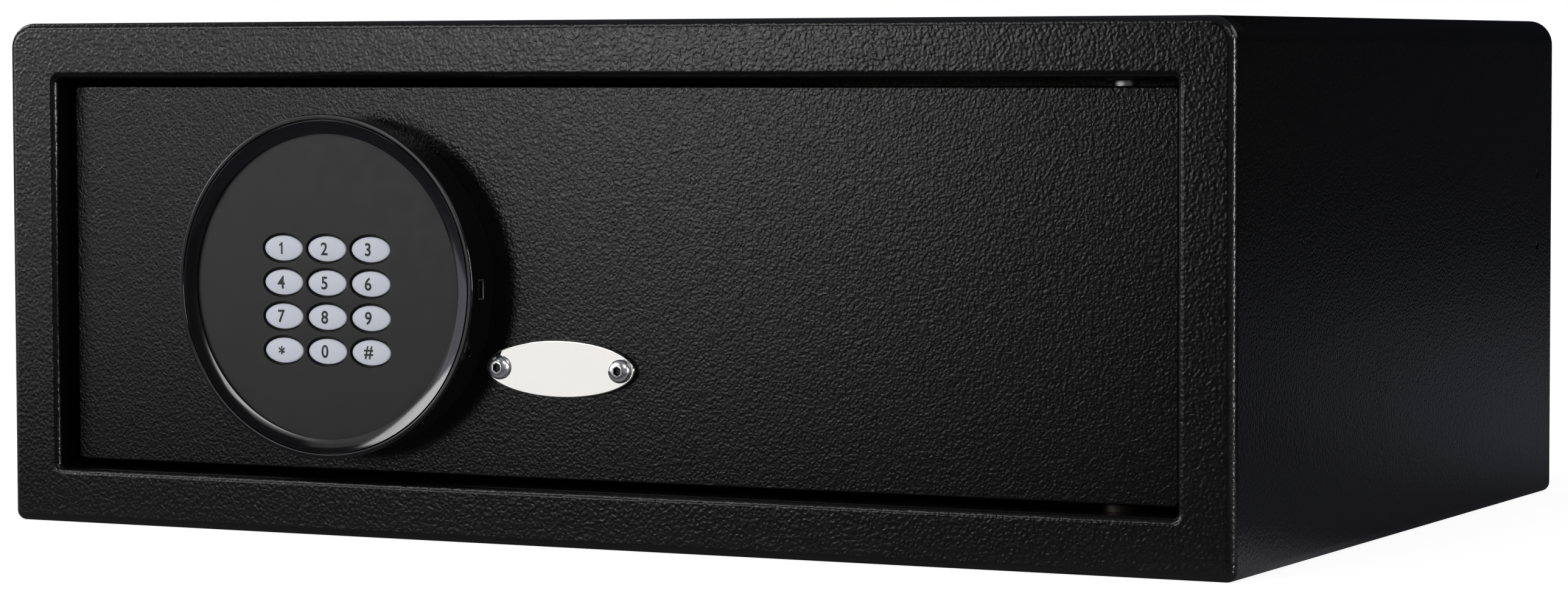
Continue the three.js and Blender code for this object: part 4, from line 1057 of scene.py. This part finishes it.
def rectangle_light(name, size, radiance, place, turn, color=(1, 1, 1)):
    data = bpy.data.lights.new(name, "AREA")
    data.shape = "RECTANGLE"
    data.size, data.size_y = size
    data.energy = radiance * math.pi * size[0] * size[1]
    data.color = color
    light = linked(name, data)
    light.matrix_world = Matrix.Translation(place) @ turn
    light.visible_camera = False
    return light


def area_light(name, azimuth, elevation, distance, size, radiance, color=(1, 1, 1)):
    """A light turned to the lit point, at an azimuth left of the front. Both angles are in degrees."""
    turn, rise = math.radians(azimuth), math.radians(elevation)
    away = Vector((-math.sin(turn) * math.cos(rise), -math.cos(turn) * math.cos(rise), math.sin(rise)))
    place = LIT_POINT + away * distance
    aim = (LIT_POINT - place).to_track_quat("-Z", "Y").to_matrix().to_4x4()
    return rectangle_light(name, size, radiance, place, aim, color)


def add_front_panels():
    """Each panel has a plane of its own, because lights that overlap in one plane don't add up."""
    for index, (name, (x0, x1, z0, z1, radiance)) in enumerate(PANELS.items()):
        y = PANELS_Y - PANEL_SPACING * index
        size = (x1 - x0) * MM, (z1 - z0) * MM
        middle = Vector((x0 + x1, 2 * y, z0 + z1)) * MM / 2
        rectangle_light(name, size, radiance, middle, Matrix.Rotation(math.pi / 2, 4, "X"))


def add_lights():
    add_front_panels()
    area_light("side_wall", 66, 6, 2.0, (1.1, 0.9), 1.5, (0.93, 0.9, 1.0))
    area_light("key", 54, 12, 2.0, (0.6, 0.44), 8.0)
    strip = area_light("strip", -82, 2, 2.0, (0.12, 1.2), 60.0)
    strip.visible_diffuse = False
    rim_light = area_light("rim_light", 40, 35, 1.6, (1.1, 0.3), 4.5)
    rim_light.visible_diffuse = False
    area_light("left_back", 105, 32, 2.0, (0.8, 0.8), 3.0)
    area_light("right_back", -118, 32, 2.0, (1.2, 0.8), 3.0)
    area_light("front_right", -45, 36, 2.0, (0.9, 0.7), 2.0)
    overhead = area_light("overhead", 25, 62, 1.8, (1.4, 1.4), 4.2)
    overhead.visible_glossy = False


def add_world():
    """White to the camera, a plain grey light, and for reflections a dark room with a soft sky.

    Reflections don't see the white, because it would turn the black coat grey.
    """
    world = bpy.data.worlds.new("studio")
    bpy.context.scene.world = world
    world.use_nodes = True
    world.node_tree.nodes.clear()
    nodes = Nodes(world.node_tree)
    direction = nodes.node("ShaderNodeTexCoord", {}, "Generated")
    across, back, up = (nodes.node("ShaderNodeSeparateXYZ", {0: direction}, axis) for axis in "XYZ")
    room = nodes.blend(nodes.span(back, 0, 1, 0.93, 0.975), (0.001, 0.001, 0.0012), (0.012, 0.013, 0.018))
    right, ahead = nodes.span(across, 0, 1, -0.08, 0.12), nodes.span(back, 1, 0, -0.4, 0.2)
    room = nodes.blend(nodes.both(right, ahead), room, (0.15, 0.15, 0.16))
    mirrored = nodes.blend(nodes.span(up, 0, 1, 0.4, 0.9), room, (0.18, 0.187, 0.21))
    light = nodes.blend(nodes.ray("Glossy"), (0.3, 0.3, 0.31), mirrored)
    seen = nodes.either(nodes.ray("Camera"), nodes.ray("Transmission"))
    background = nodes.blend(seen, light, (1.0, 1.0, 1.0))
    nodes.finish("ShaderNodeOutputWorld", nodes.node("ShaderNodeBackground", {"Color": background}, 0))


def add_floor():
    """A pale floor that looks white to the camera and still takes the object's shadow.

    Reflections see it darker: dim in front, brighter further left, and at the right side
    brightening towards the back. Round the rest of the object it is a plain grey.
    """
    corners = [(-2600, -760, 0), (2000, -760, 0), (2000, 3200, 0), (-2600, 3200, 0)]
    floor = mesh_object("floor", (corners, [(0, 1, 2, 3)]))
    material = bpy.data.materials.new("floor")
    material.use_nodes = True
    material.node_tree.nodes.clear()
    nodes = Nodes(material.node_tree)
    place = nodes.node("ShaderNodeTexCoord", {}, "Object")
    distance = nodes.node("ShaderNodeVectorMath", {0: place}, "Value", operation="LENGTH")
    across, back = (nodes.node("ShaderNodeSeparateXYZ", {0: place}, axis) for axis in "XY")
    pale = nodes.node("ShaderNodeBsdfDiffuse", {"Color": (0.8, 0.8, 0.8, 1)}, 0)
    glow = nodes.node("ShaderNodeEmission", {"Strength": 1.12}, 0)
    lit = nodes.node("ShaderNodeMixShader", {0: nodes.span(distance, 0.8, 1, 0.35, 1.1), 1: pale, 2: glow}, 0)
    ahead = nodes.span(back, 0.2, 0, -0.4, -0.1)
    left = nodes.span(across, 1, 0, -1.0, -0.3)
    slant = nodes.math("MULTIPLY_ADD", across, -2.0, back)
    behind = nodes.both(nodes.span(slant, 0, 0.6, -0.78, -0.08), nodes.span(back, 0, 1, -0.2, 0.05))
    share = nodes.both(nodes.either(left, behind), nodes.span(distance, 1, 0.1, 0.8, 3.0))
    beside = nodes.both(nodes.span(across, 0, 0.35, 0.15, 0.2), nodes.span(across, 1, 0, 0.22, 0.6))
    share = nodes.either(nodes.either(share, beside), ahead)
    shade = nodes.blend(share, (0.008, 0.008, 0.0085), (0.2, 0.205, 0.24))
    in_front = nodes.both(nodes.span(back, 1, 0, -0.3, -0.05), nodes.span(across, 1, 0, 0.3, 0.5))
    at_right = nodes.both(nodes.span(across, 0, 1, 0.0, 0.2), nodes.span(back, 0, 1, -0.2, 0.0))
    dimmed = nodes.either(in_front, at_right)
    shade = nodes.blend(dimmed, (0.5, 0.5, 0.52), shade)
    mirrored = nodes.node("ShaderNodeBsdfDiffuse", {"Color": shade}, 0)
    surface = nodes.node("ShaderNodeMixShader", {0: nodes.ray("Glossy"), 1: lit, 2: mirrored}, 0)
    nodes.finish("ShaderNodeOutputMaterial", surface)
    floor.data.materials.append(material)


add_camera()
make_front_frame()
make_body_wrap()
make_back_plate()
make_floor_mat()
make_base_plugs()
make_hinge_bushes()
make_door_panel()
make_hinge_pins()
make_screws()
make_cover_plate()
make_lock_housing()
make_trim_ring()
make_face_plate()
make_keys()
make_usb_port()
make_power_jack()
make_battery_lid()
make_bolts()
dress_kept_nodes()
add_lights()
add_world()
add_floor()

bpy.context.scene.view_settings.view_transform = "Standard"
